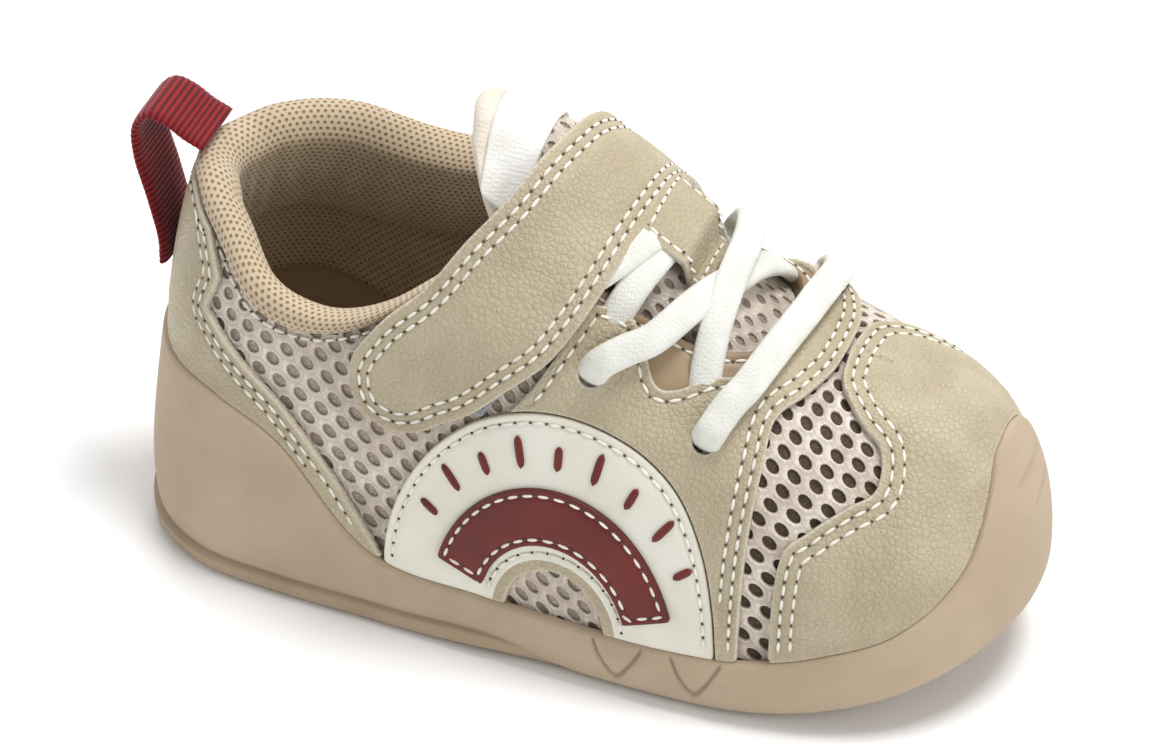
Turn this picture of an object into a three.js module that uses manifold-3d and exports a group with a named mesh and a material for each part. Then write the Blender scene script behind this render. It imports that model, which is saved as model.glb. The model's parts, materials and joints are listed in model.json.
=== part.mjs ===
// A toddler's right sneaker, standing on a level floor.
// Millimetres. +X points to the toe, +Y to the inner (medial) side, +Z up.
// The origin is the middle of the heel's tread, on the floor.
import * as THREE from "three";
import { mergeVertices } from "three/addons/utils/BufferGeometryUtils.js";
import Module from "manifold-3d";

const wasm = await Module();
wasm.setup();

// Driving sizes
const soleLength = 148;
const ballWidth = 64.5;
const heelSeat = 27; // from the back of the sole to the origin
const instepHeight = 80; // floor to the ridge of the last under the strap
const bumperHeight = 42; // floor to the top of the toe bumper
const footbed = 6.5; // floor to the top of the midsole under the foot
const toeSpring = 12; // rise of the sole's edge at the tip
const springStart = 100; // where the toe spring begins, from the back of the sole
const archRise = 1; // the waist's underside lies this far above the floor
const gap = 0.3; // clearance between pieces that touch
const upperWall = 2;
const cupWall = 2.6; // midsole wall beside the upper's lower edge
const cupEdge = 1.7; // midsole wall at its top edge
const overlay = 1.1; // leather laid over the upper
const treadThickness = 2.6;
const treadRim = 4; // bare rim of midsole round the tread at the toe
const treadLip = 0.4; // the tread stands this far proud of the midsole at the heel
const grooveDepth = 1.3;
const treadWear = 0.25; // the tread's underside is levelled this deep, which gives heel and ball a flat spot
const insoleThickness = 3;
const collarRoll = 4; // padded roll above the upper's top edge
const collarPad = 3.3; // thickness of the padded lining
const collarDepth = 16; // how far the lining reaches down inside
const tongueThickness = 3.4;
const strapThickness = 2.2;
const laceWidth = 5;
const laceThickness = 2.4;
const eyeletRadius = 1.9;
const loopWidth = 12;
const loopThickness = 1.6;

// Plan outline of the sole and the height of the cup's edge round it. along is a share of soleLength,
// lateral and medial are shares of ballWidth, and the two cup heights are shares of bumperHeight.
const outlineRows = [
  { along: 0, lateral: 0, medial: 0, cupLateral: 0.81, cupMedial: 0.81 },
  { along: 0.012, lateral: 0.15, medial: 0.15, cupLateral: 0.81, cupMedial: 0.81 },
  { along: 0.045, lateral: 0.28, medial: 0.28, cupLateral: 0.8, cupMedial: 0.8 },
  { along: 0.11, lateral: 0.38, medial: 0.385, cupLateral: 0.785, cupMedial: 0.785 },
  { along: 0.2, lateral: 0.415, medial: 0.412, cupLateral: 0.66, cupMedial: 0.66 },
  { along: 0.31, lateral: 0.432, medial: 0.408, cupLateral: 0.285, cupMedial: 0.31 },
  { along: 0.44, lateral: 0.455, medial: 0.395, cupLateral: 0.235, cupMedial: 0.25 },
  { along: 0.56, lateral: 0.478, medial: 0.425, cupLateral: 0.225, cupMedial: 0.235 },
  { along: 0.66, lateral: 0.487, medial: 0.49, cupLateral: 0.228, cupMedial: 0.23 },
  { along: 0.75, lateral: 0.48, medial: 0.52, cupLateral: 0.258, cupMedial: 0.258 },
  { along: 0.83, lateral: 0.445, medial: 0.49, cupLateral: 0.335, cupMedial: 0.335 },
  { along: 0.9, lateral: 0.378, medial: 0.41, cupLateral: 0.435, cupMedial: 0.43 },
  { along: 0.955, lateral: 0.265, medial: 0.295, cupLateral: 0.63, cupMedial: 0.6 },
  { along: 0.99, lateral: 0.12, medial: 0.155, cupLateral: 0.95, cupMedial: 0.94 },
  { along: 1, lateral: -0.012, medial: 0.012, cupLateral: 1, cupMedial: 1 },
];

// Ridge of the last from back to front: height is a share of instepHeight, fullness rounds the section.
const ridgeRows = [
  { along: 0, height: 1.25, fullness: 2 },
  { along: 0.2, height: 1.235, fullness: 2 },
  { along: 0.32, height: 1.17, fullness: 2.1 },
  { along: 0.4, height: 1.085, fullness: 2.3 },
  { along: 0.47, height: 1, fullness: 2.45 },
  { along: 0.53, height: 0.915, fullness: 2.5 },
  { along: 0.59, height: 0.832, fullness: 2.45 },
  { along: 0.66, height: 0.748, fullness: 2.4 },
  { along: 0.74, height: 0.667, fullness: 2.45 },
  { along: 0.82, height: 0.615, fullness: 2.5 },
  { along: 0.9, height: 0.57, fullness: 2.6 },
];
const ridgeBack = 32; // where the ridge starts, from the back of the sole
const ridgeFront = 131; // where it ends
const ridgeShift = 1.5; // the ridge lies this far to the medial side

// Top edge of the upper round the collar: turn is the way round the outline from the back of the heel,
// heights are shares of instepHeight and roll is a share of collarRoll.
const collarRows = [
  { turn: 0, lateral: 0.776, medial: 0.776, roll: 1 },
  { turn: 0.03, lateral: 0.776, medial: 0.776, roll: 1 },
  { turn: 0.056, lateral: 0.776, medial: 0.776, roll: 1 },
  { turn: 0.075, lateral: 0.758, medial: 0.783, roll: 1.05 },
  { turn: 0.1, lateral: 0.72, medial: 0.785, roll: 1.1 },
  { turn: 0.128, lateral: 0.645, medial: 0.77, roll: 1.15 },
  { turn: 0.148, lateral: 0.618, medial: 0.752, roll: 1.05 },
  { turn: 0.166, lateral: 0.63, medial: 0.745, roll: 0.85 },
  { turn: 0.182, lateral: 0.685, medial: 0.755, roll: 0.75 },
  { turn: 0.196, lateral: 0.785, medial: 0.79, roll: 0.7 },
  { turn: 0.203, lateral: 0.84, medial: 0.82, roll: 0.7 },
];

// Throat of the upper in plan, and the opening of the eyestay round it. along is a share of soleLength,
// the rest are shares of ballWidth.
const throatRows = [
  { along: 0.25, lateral: 0.24, medial: 0.27 },
  { along: 0.5, lateral: 0.24, medial: 0.265 },
  { along: 0.6, lateral: 0.235, medial: 0.25 },
  { along: 0.66, lateral: 0.215, medial: 0.225 },
  { along: 0.7, lateral: 0.15, medial: 0.16 },
  { along: 0.716, lateral: 0.03, medial: 0.06 },
];
const facingRows = [
  { along: 0.4, lateral: 0.27, medial: 0.3 },
  { along: 0.52, lateral: 0.268, medial: 0.295 },
  { along: 0.58, lateral: 0.252, medial: 0.28 },
  { along: 0.613, lateral: 0.315, medial: 0.335 },
  { along: 0.632, lateral: 0.308, medial: 0.33 },
  { along: 0.665, lateral: 0.262, medial: 0.28 },
  { along: 0.7, lateral: 0.212, medial: 0.225 },
  { along: 0.722, lateral: 0.05, medial: 0.08 },
];

// Rear edge of the toe cap and front edge of the eyestay in plan: shares of soleLength and ballWidth.
const toeCapRows = [
  { along: 0.765, across: 0.6 },
  { along: 0.765, across: 0.42 },
  { along: 0.789, across: 0.385 },
  { along: 0.825, across: 0.33 },
  { along: 0.848, across: 0.285 },
  { along: 0.843, across: 0.225 },
  { along: 0.815, across: 0.19 },
  { along: 0.785, across: 0.12 },
  { along: 0.778, across: 0.03 },
];
const facingFrontRows = [
  { along: 0.732, across: 0.6 },
  { along: 0.736, across: 0.35 },
  { along: 0.735, across: 0.27 },
  { along: 0.757, across: 0.19 },
  { along: 0.772, across: 0.1 },
  { along: 0.775, across: 0.02 },
];

// Side panels, seen from the side: along is a share of soleLength, height of instepHeight.
const panelRows = [
  { along: 0.328, height: 0.05 },
  { along: 0.329, height: 0.2 },
  { along: 0.346, height: 0.325 },
  { along: 0.38, height: 0.442 },
  { along: 0.427, height: 0.531 },
  { along: 0.474, height: 0.572 },
  { along: 0.52, height: 0.584 },
  { along: 0.568, height: 0.57 },
  { along: 0.616, height: 0.532 },
  { along: 0.655, height: 0.47 },
  { along: 0.684, height: 0.37 },
  { along: 0.7, height: 0.24 },
  { along: 0.706, height: 0.05 },
];

// Upper edge of the heel counter, seen from the side.
const counterRows = [
  { along: -0.1, height: 0.82 },
  { along: 0.09, height: 0.82 },
  { along: 0.125, height: 0.66 },
  { along: 0.11, height: 0.585 },
  { along: 0.155, height: 0.52 },
  { along: 0.205, height: 0.45 },
  { along: 0.24, height: 0.38 },
  { along: 0.27, height: 0.31 },
  { along: 0.3, height: 0.225 },
  { along: 0.333, height: 0.13 },
];

// The strap from its free end on the lateral side over the instep: girth runs from -1 at the lateral
// feather edge over 0 at the ridge to 1 at the medial one; rear and front are shares of soleLength.
const strapRows = [
  { girth: -0.768, rear: 0.333, front: 0.354 },
  { girth: -0.755, rear: 0.31, front: 0.376 },
  { girth: -0.73, rear: 0.297, front: 0.398 },
  { girth: -0.69, rear: 0.293, front: 0.43 },
  { girth: -0.62, rear: 0.318, front: 0.465 },
  { girth: -0.52, rear: 0.368, front: 0.505 },
  { girth: -0.4, rear: 0.403, front: 0.53 },
  { girth: -0.27, rear: 0.434, front: 0.545 },
  { girth: -0.13, rear: 0.452, front: 0.554 },
  { girth: 0, rear: 0.465, front: 0.56 },
  { girth: 0.13, rear: 0.474, front: 0.565 },
  { girth: 0.27, rear: 0.48, front: 0.57 },
  { girth: 0.42, rear: 0.484, front: 0.576 },
  { girth: 0.56, rear: 0.486, front: 0.58 },
  { girth: 0.66, rear: 0.487, front: 0.582 },
];

// The tongue from its top edge to its end under the vamp: reach is its half width in girth.
const tongueRows = [
  { along: 0.385, reach: 0.2, crown: 0 },
  { along: 0.4, reach: 0.3, crown: 0.1 },
  { along: 0.43, reach: 0.4, crown: 0.5 },
  { along: 0.46, reach: 0.52, crown: 0.9 },
  { along: 0.5, reach: 0.56, crown: 1 },
  { along: 0.54, reach: 0.56, crown: 1 },
  { along: 0.6, reach: 0.54, crown: 0.75 },
  { along: 0.65, reach: 0.52, crown: 0.45 },
  { along: 0.7, reach: 0.46, crown: 0.1 },
  { along: 0.74, reach: 0.38, crown: 0 },
];
const tongueCrown = 3.2; // how far the middle of the tongue swells out through the throat

const facetTolerance = 0.02; // facets flatter than this are joined
const around = 44; // points round each outline
const levels = 9; // rows from the feather edge to the ridge

const lerp = THREE.MathUtils.lerp;
const clamp = THREE.MathUtils.clamp;

// Smooth reading of a table column at a share of the length.
function readRows(rows, key, share) {
  const last = rows.length - 1;
  let i = rows.findIndex((row, k) => k === last - 1 || share < rows[k + 1].along);
  i = clamp(i, 0, last - 1);
  const a = rows[Math.max(i - 1, 0)];
  const b = rows[i];
  const c = rows[i + 1];
  const d = rows[Math.min(i + 2, last)];
  const t = clamp((share - b.along) / (c.along - b.along), 0, 1);
  const step = c.along - b.along;
  const slopeIn = a === b ? c[key] - b[key] : ((c[key] - a[key]) / (c.along - a.along)) * step;
  const slopeOut = c === d ? c[key] - b[key] : ((d[key] - b[key]) / (d.along - b.along)) * step;
  const t2 = t * t;
  const t3 = t2 * t;
  return (2 * t3 - 3 * t2 + 1) * b[key] + (t3 - 2 * t2 + t) * slopeIn
    + (3 * t2 - 2 * t3) * c[key] + (t3 - t2) * slopeOut;
}

// The outline as a closed curve: from the back of the heel along the lateral side to the toe and back.
const outlinePoints = [
  ...outlineRows.map((r) => new THREE.Vector3(r.along * soleLength, -r.lateral * ballWidth, 0)),
  ...outlineRows.slice(1, -1).reverse()
    .map((r) => new THREE.Vector3(r.along * soleLength, r.medial * ballWidth, 0)),
];
const outlineCurve = new THREE.CatmullRomCurve3(outlinePoints, true, "centripetal");

// The curve is read at knots that pair each lateral point with the medial one across from it.
const tipKnot = (outlineRows.length - 1) / outlinePoints.length;
function outlineAt(u) {
  const turn = ((u % 1) + 1) % 1;
  const half = turn <= 0.5 ? turn * 2 : (1 - turn) * 2;
  const eased = 0.5 - 0.5 * Math.cos(Math.PI * half);
  const share = lerp(half, eased, 0.35);
  return outlineCurve.getPoint(turn <= 0.5 ? share * tipKnot : 1 - share * tipKnot);
}

// Outward normal of the outline in plan.
function outlineNormal(u) {
  const step = 1e-3;
  const ahead = outlineAt(u + step).sub(outlineAt(u - step));
  return new THREE.Vector3(ahead.y, -ahead.x, 0).normalize();
}

// Height of the sole's underside above the floor.
function spring(x) {
  const share = clamp((x - springStart) / (soleLength - springStart), 0, 1.1);
  return toeSpring * share * share;
}

// Height of the underside of the sole at x.
function underside(x) {
  const waist = Math.sin(Math.PI * clamp((x / soleLength - 0.34) / 0.24, 0, 1));
  return spring(x) + archRise * waist * waist;
}

// The line from the feather edge to the ridge that starts at turn u of the outline.
function section(u) {
  const facing = outlineNormal(u);
  const edge = outlineAt(u).addScaledVector(facing, -(cupWall + gap));
  const share = clamp((edge.x + outlineAt(1 - u).x) / 2 / soleLength, 0, 1);
  const spineX = lerp(ridgeBack, ridgeFront, share);
  return {
    edge,
    spineX,
    sweep: 1 + facing.y * facing.y, // the line meets the ridge squarely along the sides
    base: footbed + gap + spring(edge.x),
    top: readRows(ridgeRows, "height", spineX / soleLength) * instepHeight,
    fullness: readRows(ridgeRows, "fullness", spineX / soleLength),
  };
}

// A point of the last's surface: lift runs from 0 at the feather edge to 1 at the ridge.
function lastPoint(u, lift) {
  const s = section(u);
  const angle = (clamp(lift, 0, 1) * Math.PI) / 2;
  const inward = Math.pow(Math.cos(angle), 2 / s.fullness);
  const upward = Math.pow(Math.sin(angle), 2 / s.fullness);
  return new THREE.Vector3(
    lerp(s.spineX, s.edge.x, lift < 1 ? Math.pow(inward, s.sweep) : 0),
    lerp(ridgeShift, s.edge.y, lift < 1 ? inward : 0),
    lerp(s.base, s.top, upward),
  );
}

// The lift at which the surface reaches height z.
function liftAt(u, z) {
  const s = section(u);
  const upward = clamp((z - s.base) / (s.top - s.base), 0, 1);
  return (Math.asin(Math.pow(upward, s.fullness / 2)) * 2) / Math.PI;
}

// Outward normal of the last's surface. On the ridge it follows the ridge's slope.
function lastNormal(u, lift) {
  if (lift > 0.995) {
    const x = section(u).spineX / soleLength;
    const step = 0.01;
    const rise = readRows(ridgeRows, "height", x + step) - readRows(ridgeRows, "height", x - step);
    return new THREE.Vector3(-(rise * instepHeight) / (2 * step * soleLength), 0, 1).normalize();
  }
  const du = 2e-3;
  const dv = 4e-3;
  const level = clamp(lift, 0.002, 0.995);
  const along = lastPoint(u + du, level).sub(lastPoint(u - du, level));
  const up = lastPoint(u, Math.min(level + dv, 0.998)).sub(lastPoint(u, level - dv / 4));
  return along.cross(up).normalize();
}

// A point at a distance from the last's surface.
function skin(u, lift, offset) {
  return lastPoint(u, lift).addScaledVector(lastNormal(u, lift), offset);
}

// The turn u at which the line of constant girth crosses x.
function turnAt(x, girth) {
  const lift = 1 - Math.abs(girth);
  const side = (u) => (girth < 0 ? u : 1 - u);
  let low = 0;
  let high = 0.5;
  for (let i = 0; i < 30; i += 1) {
    const middle = (low + high) / 2;
    if (lastPoint(side(middle), lift).x < x) low = middle;
    else high = middle;
  }
  return side((low + high) / 2);
}

function spot(x, girth, offset) {
  return skin(turnAt(x, girth), 1 - Math.abs(girth), offset);
}

// A closed solid from an indexed list of points; crumbs left by a cut are dropped.
function solidFrom(points, index) {
  const geometry = new THREE.BufferGeometry();
  const numbers = points.flatMap((p) => [p.x, p.y, p.z]);
  geometry.setAttribute("position", new THREE.Float32BufferAttribute(numbers, 3));
  geometry.setIndex(index);
  return solidOf(geometry);
}

function solidOf(source) {
  const bare = source.clone();
  bare.deleteAttribute("normal");
  bare.deleteAttribute("uv");
  const merged = mergeVertices(bare, 1e-4);
  const triangles = [];
  for (let i = 0; i < merged.index.count; i += 3) {
    const [a, b, c] = [0, 1, 2].map((k) => merged.index.getX(i + k));
    if (a !== b && b !== c && c !== a) triangles.push(a, b, c);
  }
  const triVerts = Uint32Array.from(triangles);
  const vertProperties = Float32Array.from(merged.attributes.position.array);
  return new wasm.Manifold(new wasm.Mesh({ numProp: 3, vertProperties, triVerts }));
}

function mainBody(solid) {
  const bodies = solid.decompose();
  return bodies.reduce((best, body) => (body.volume() > best.volume() ? body : best));
}

// A solid through rings of points. Each end is closed by strips between points i and mate(i).
function loft(rings, mate) {
  const count = rings[0].length;
  const index = [];
  const top = (rings.length - 1) * count;
  rings.slice(1).forEach((ring, j) => {
    for (let i = 0; i < count; i += 1) {
      const a = j * count + i;
      const b = j * count + ((i + 1) % count);
      index.push(a, b, b + count, a, b + count, a + count);
    }
  });
  for (let i = 0; i < count / 2; i += 1) {
    const a = i;
    const b = i + 1;
    const c = mate(i + 1);
    const d = mate(i);
    index.push(a, c, b, a, d, c);
    index.push(top + a, top + b, top + c, top + a, top + c, top + d);
  }
  return solidFrom(rings.flat(), index);
}

const turns = Array.from({ length: around }, (_, i) => i / around);
const acrossMate = (i) => (around - i) % around;

// The last's solid, grown by offset and reaching drop below the feather edge.
const lastSolids = new Map();
function lastSolid(offset, drop = 0) {
  const key = `${offset} ${drop}`;
  if (!lastSolids.has(key)) {
    const rings = Array.from({ length: levels + 1 }, (_, j) => turns.map((u) => skin(u, j / levels, offset)));
    const foot = turns.map((u, i) => rings[0][i].clone().setZ(section(u).base - drop));
    lastSolids.set(key, loft([foot, ...rings], acrossMate));
  }
  return lastSolids.get(key);
}

// A layer over the last between two distances from it.
function layer(inner, outer) {
  return lastSolid(outer).subtract(lastSolid(inner, upperWall));
}

// A prism through a closed outline seen from the side, on one side of the ridge (-1 lateral, 1 medial) or both.
const reach = 60;
const overlap = 0.05; // the two sides' prisms run this far past the ridge
function sidePrism(points, side = 0) {
  const shape = new THREE.Shape(points.map((p) => new THREE.Vector2(p.x, p.z)));
  const low = side > 0 ? ridgeShift - overlap : -reach;
  const high = side < 0 ? ridgeShift + overlap : reach;
  const prism = new THREE.ExtrudeGeometry(shape, { depth: high - low, bevelEnabled: false });
  prism.rotateX(Math.PI / 2);
  return solidOf(prism.translate(0, high, 0));
}

// A prism through a closed outline seen from above.
function planPrism(points, low = -10, high = 130) {
  const shape = new THREE.Shape(points.map((p) => new THREE.Vector2(p.x, p.y)));
  const prism = new THREE.ExtrudeGeometry(shape, { depth: high - low, bevelEnabled: false });
  return solidOf(prism.translate(0, 0, low));
}

// A smooth line through table rows, as points in the plane of two axes.
function smoothLine(rows, toPoint, steps) {
  const curve = new THREE.CatmullRomCurve3(rows.map(toPoint), false, "centripetal");
  return curve.getPoints(steps);
}

const sidePoint = (row) => new THREE.Vector3(row.along * soleLength, 0, row.height * instepHeight);
const planPoint = (side, key) => (row) => new THREE.Vector3(
  row.along * soleLength,
  ridgeShift + side * row[key] * ballWidth,
  0,
);

// A line in plan followed on the lateral side and back on the medial side.
function bothSides(rows, lateral, medial, steps) {
  return [
    ...smoothLine(rows, planPoint(-1, lateral), steps),
    ...smoothLine(rows, planPoint(1, medial), steps).reverse(),
  ];
}

// Sole

const isLateral = (u) => u <= 0.5;
function cupTop(u) {
  const key = isLateral(u) ? "cupLateral" : "cupMedial";
  return readRows(outlineRows, key, outlineAt(u).x / soleLength) * bumperHeight;
}

// A ring of the sole's outline, drawn in by inset and raised from the underside.
function soleRing(inset, rise) {
  return turns.map((u) => {
    const edge = outlineAt(u);
    const drawIn = typeof inset === "function" ? inset(edge.x) : inset;
    const point = edge.clone().addScaledVector(outlineNormal(u), -drawIn);
    return point.setZ(underside(edge.x) + rise);
  });
}

// The cup, filled, and grown by grow.
const rimFoot = 0.5; // the rim round the tread stays this far off the floor
const rimRound = 3.2; // rounding of the rim's lower corner
const cupSteps = 4;
function cupSolid(grow) {
  const rings = [
    soleRing(rimRound + 0.6 - grow, rimFoot - grow),
    soleRing(rimRound * 0.32 - grow, rimFoot + rimRound * 0.25 - grow),
    soleRing(-grow, rimFoot + rimRound),
  ];
  for (let k = 0; k <= cupSteps; k += 1) {
    rings.push(turns.map((u) => {
      const share = k / cupSteps;
      const z = lerp(section(u).base, cupTop(u) + grow, share);
      return skin(u, liftAt(u, z), gap + lerp(cupWall, cupEdge, share) + grow);
    }));
  }
  const crown = (offset, rise) => turns.map((u) => skin(u, liftAt(u, cupTop(u) + grow + rise), offset));
  rings.push(crown(gap + cupEdge * 0.6, 0.7));
  rings.push(crown(-1, 0.5));
  return loft(rings, acrossMate);
}

const rimStart = 0.42; // shares of soleLength between which the rim comes out
const rimFull = 0.64;
function treadInset(x) {
  return lerp(-treadLip, treadRim, THREE.MathUtils.smoothstep(x / soleLength, rimStart, rimFull));
}

// Grooves across the forefoot: wide ones between the rows of blocks, narrow ones along each row's middle.
const grooveStart = 0.585;
const groovePitch = 0.086;
const grooveWave = 2.2;
function crossGroove(along, width, depth) {
  const steps = 14;
  const line = Array.from({ length: steps + 1 }, (_, i) => {
    const across = lerp(-0.62, 0.62, i / steps);
    const wave = grooveWave * Math.sin(across * 2 * Math.PI) - 9 * across * across;
    return new THREE.Vector2(along * soleLength + wave, across * ballWidth);
  });
  const outline = [
    ...line.map((p) => new THREE.Vector3(p.x + width / 2, p.y, 0)),
    ...line.reverse().map((p) => new THREE.Vector3(p.x - width / 2, p.y, 0)),
  ];
  return planPrism(outline, -2, underside(along * soleLength) + depth);
}

function outsole() {
  let plate = loft([
    soleRing((x) => treadInset(x) + 1.1, -treadWear),
    soleRing(treadInset, 0.8),
    soleRing(treadInset, treadThickness),
  ], acrossMate);
  const corners = [[-1, -1], [2, -1], [2, 1], [-1, 1]];
  const belowFloor = corners.map(([x, y]) => new THREE.Vector2(x * soleLength, y * soleLength));
  plate = plate.subtract(planPrism(belowFloor, -10, 0));
  for (let k = 0; k < 4; k += 1) {
    const along = grooveStart + k * groovePitch;
    plate = plate.subtract(crossGroove(along, 1.9, grooveDepth));
    if (k < 3) plate = plate.subtract(crossGroove(along + groovePitch / 2, 1, grooveDepth * 0.7));
  }
  const ring = new THREE.Shape().absellipse(heelSeat, 0, 15, 10.5, 0, 2 * Math.PI);
  ring.holes.push(new THREE.Path().absellipse(heelSeat, 0, 13.4, 8.9, 0, 2 * Math.PI));
  const depth = 2 + grooveDepth;
  const groove = new THREE.ExtrudeGeometry(ring, { depth, bevelEnabled: false, curveSegments: 20 });
  return plate.subtract(solidOf(groove.translate(0, 0, -2)));
}

function midsole() {
  const pocket = loft([
    soleRing((x) => treadInset(x) - gap, -4),
    soleRing((x) => treadInset(x) - gap, treadThickness + gap),
  ], acrossMate);
  return cupSolid(0).subtract(lastSolid(gap, gap)).subtract(pocket);
}

function insole() {
  const inside = -(upperWall + gap);
  const ring = (rise) => turns.map((u) => {
    const base = section(u).base;
    return skin(u, liftAt(u, base + rise), inside).setZ(base + rise);
  });
  return loft([ring(0), ring(insoleThickness)], acrossMate);
}

// Upper

function collarTurn(side, turn) {
  return side < 0 ? turn : 1 - turn;
}

function readTurn(key, turn) {
  return readRows(collarRows.map((row) => ({ along: row.turn, ...row })), key, turn);
}

// Everything above the collar's line.
function collarCut() {
  const high = 2 * instepHeight;
  const cutters = [-1, 1].map((side) => {
    const steps = 18;
    const last = collarRows[collarRows.length - 1].turn;
    const line = Array.from({ length: steps + 1 }, (_, i) => {
      const turn = (i / steps) * last;
      const u = collarTurn(side, turn);
      const z = readTurn(side < 0 ? "lateral" : "medial", turn) * instepHeight;
      return lastPoint(u, liftAt(u, z));
    });
    const first = line[0];
    const end = line[steps];
    return sidePrism([
      new THREE.Vector3(first.x - 40, 0, first.z),
      ...line,
      new THREE.Vector3(end.x, 0, high),
      new THREE.Vector3(first.x - 40, 0, high),
    ], side);
  });
  return cutters[0].add(cutters[1]);
}

// A hole through everything at a spot of the last.
function eyeletHole(x, girth) {
  const hole = new THREE.CylinderGeometry(eyeletRadius, eyeletRadius, 12, 12);
  const normal = lastNormal(turnAt(x, girth), 1 - Math.abs(girth));
  hole.applyQuaternion(new THREE.Quaternion().setFromUnitVectors(new THREE.Vector3(0, 1, 0), normal));
  const place = spot(x, girth, 0);
  return solidOf(hole.translate(place.x, place.y, place.z));
}

const eyelets = [
  { along: 0.547, girth: -0.5 },
  { along: 0.672, girth: -0.5 },
  { along: 0.6, girth: 0.47 },
  { along: 0.7, girth: 0.42 },
];

function eyeletHoles() {
  const holes = eyelets.map((e) => eyeletHole(e.along * soleLength, e.girth));
  return holes.reduce((all, hole) => all.add(hole));
}

function throatCut(rows) {
  return planPrism(bothSides(rows, "lateral", "medial", 14), instepHeight * 0.35);
}

function upper() {
  return lastSolid(0)
    .subtract(lastSolid(-upperWall, 2 * upperWall))
    .subtract(collarCut())
    .subtract(throatCut(throatRows))
    .subtract(eyeletHoles());
}

// The padded roll on the collar's edge and the lining that hangs from it inside.
function collar() {
  const inner = -(upperWall + gap + 0.15);
  const pad = inner - collarPad;
  const end = collarRows[collarRows.length - 1].turn;
  const steps = 28;
  const profile = (roll, depth) => [
    [0.5, gap + 0.15],
    [1.3, roll * 0.5],
    [0.4, roll * 0.88],
    [-1.8, roll],
    [-4.2, roll * 0.82],
    [pad, roll * 0.25],
    [pad - 0.2, -depth * 0.4],
    [pad + 1.2, -depth],
    [inner, -depth],
    [inner, gap + 0.15],
  ];
  const caps = THREE.ShapeUtils.triangulateShape(profile(4, 16).map(([x, y]) => new THREE.Vector2(x, y)), []);
  const points = [];
  for (let i = 0; i <= steps; i += 1) {
    const turn = lerp(-end, end, i / steps);
    const side = turn < 0 ? 1 : -1;
    const u = collarTurn(side, Math.abs(turn));
    const z = readTurn(side < 0 ? "lateral" : "medial", Math.abs(turn)) * instepHeight;
    const roll = readTurn("roll", Math.abs(turn)) * collarRoll;
    profile(roll, collarDepth).forEach(([offset, rise]) => {
      points.push(skin(u, liftAt(u, z + rise), offset));
    });
  }
  const above = collarCut().translate(0, 0, gap);
  const wall = lastSolid(gap)
    .subtract(lastSolid(-(upperWall + gap), 2 * upperWall))
    .subtract(above.intersect(above.translate(-gap, 0, 0)));
  return sweep(points, profile(1, 1).length, caps).subtract(wall).subtract(tongue(gap));
}

// A solid along a path: sections of count points one after another, with the caps' triangles given.
function sweep(points, count, caps) {
  const index = [];
  const sections = points.length / count;
  for (let j = 0; j < sections - 1; j += 1) {
    for (let i = 0; i < count; i += 1) {
      const a = j * count + i;
      const b = j * count + ((i + 1) % count);
      index.push(a, b, b + count, a, b + count, a + count);
    }
  }
  const far = (sections - 1) * count;
  caps.forEach(([a, b, c]) => index.push(a, c, b, far + a, far + b, far + c));
  const solid = solidFrom(points, index);
  if (solid.volume() > 0) return solid;
  const turned = [];
  for (let i = 0; i < index.length; i += 3) turned.push(index[i], index[i + 2], index[i + 1]);
  return solidFrom(points, turned);
}

// Strip caps for a section whose points i and count-1-i face each other.
function facingCaps(count) {
  const caps = [];
  for (let i = 0; i < count / 2 - 1; i += 1) {
    caps.push([i, i + 1, count - 2 - i], [i, count - 2 - i, count - 1 - i]);
  }
  return caps;
}

// A band laid on the last: each row gives a station, at(station, share) a spot across it.
function band(stations, across, outerAt, innerAt) {
  const points = [];
  stations.forEach((station) => {
    for (let k = 0; k <= across; k += 1) points.push(outerAt(station, k / across));
    for (let k = across; k >= 0; k -= 1) points.push(innerAt(station, k / across));
  });
  return sweep(points, 2 * (across + 1), facingCaps(2 * (across + 1)));
}

const underLeather = 2 * gap + overlay; // inner face of what lies over the overlays
const strapLies = underLeather + 0.2;

function strap() {
  const place = (row, share, offset) => spot(lerp(row.rear, row.front, share) * soleLength, row.girth, offset);
  return band(
    strapRows,
    4,
    (row, share) => place(row, share, strapLies + strapThickness),
    (row, share) => place(row, share, strapLies),
  );
}

const tongueLies = -(upperWall + gap + 0.4); // outer face of the tongue where the upper covers it
function tongueOffset(row, share) {
  const rise = THREE.MathUtils.smoothstep(share, 0.18, 0.42);
  const open = rise * (1 - THREE.MathUtils.smoothstep(share, 0.58, 0.82));
  return tongueLies + tongueCrown * row.crown * open;
}

function tongue(grow = 0) {
  const place = (row, share, offset) => {
    const girth = lerp(-row.reach, row.reach, share) * (1 + grow / 10);
    return spot(row.along * soleLength, girth, offset);
  };
  return band(
    tongueRows,
    12,
    (row, share) => place(row, share, tongueOffset(row, share) + grow),
    (row, share) => place(row, share, tongueOffset(row, share) - tongueThickness - grow),
  );
}

// Overlays

const cupGrown = cupSolid(gap);
const leather = layer(gap, gap + overlay);
const collarEdge = collarCut();

const panelLine = smoothLine(panelRows, sidePoint, 26);

// The panel's outline grown by margin, for the edge of what meets it.
function panelOutline(margin) {
  const centre = new THREE.Vector3(0.52 * soleLength, 0, 0.1 * instepHeight);
  return panelLine.map((p) => {
    const out = p.clone().sub(centre);
    return p.clone().addScaledVector(out.normalize(), margin);
  });
}

const windowAlong = 0.525; // middle of the arched window, share of soleLength
const windowFoot = 9; // height of the window's springing line
const windowRadius = 8.5;
function arch(radius, from = 0, to = Math.PI) {
  const steps = 14;
  return Array.from({ length: steps + 1 }, (_, i) => {
    const angle = lerp(from, to, i / steps);
    return new THREE.Vector3(
      windowAlong * soleLength + radius * Math.cos(angle),
      0,
      windowFoot + 1.25 * radius * Math.sin(angle),
    );
  });
}

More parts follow.
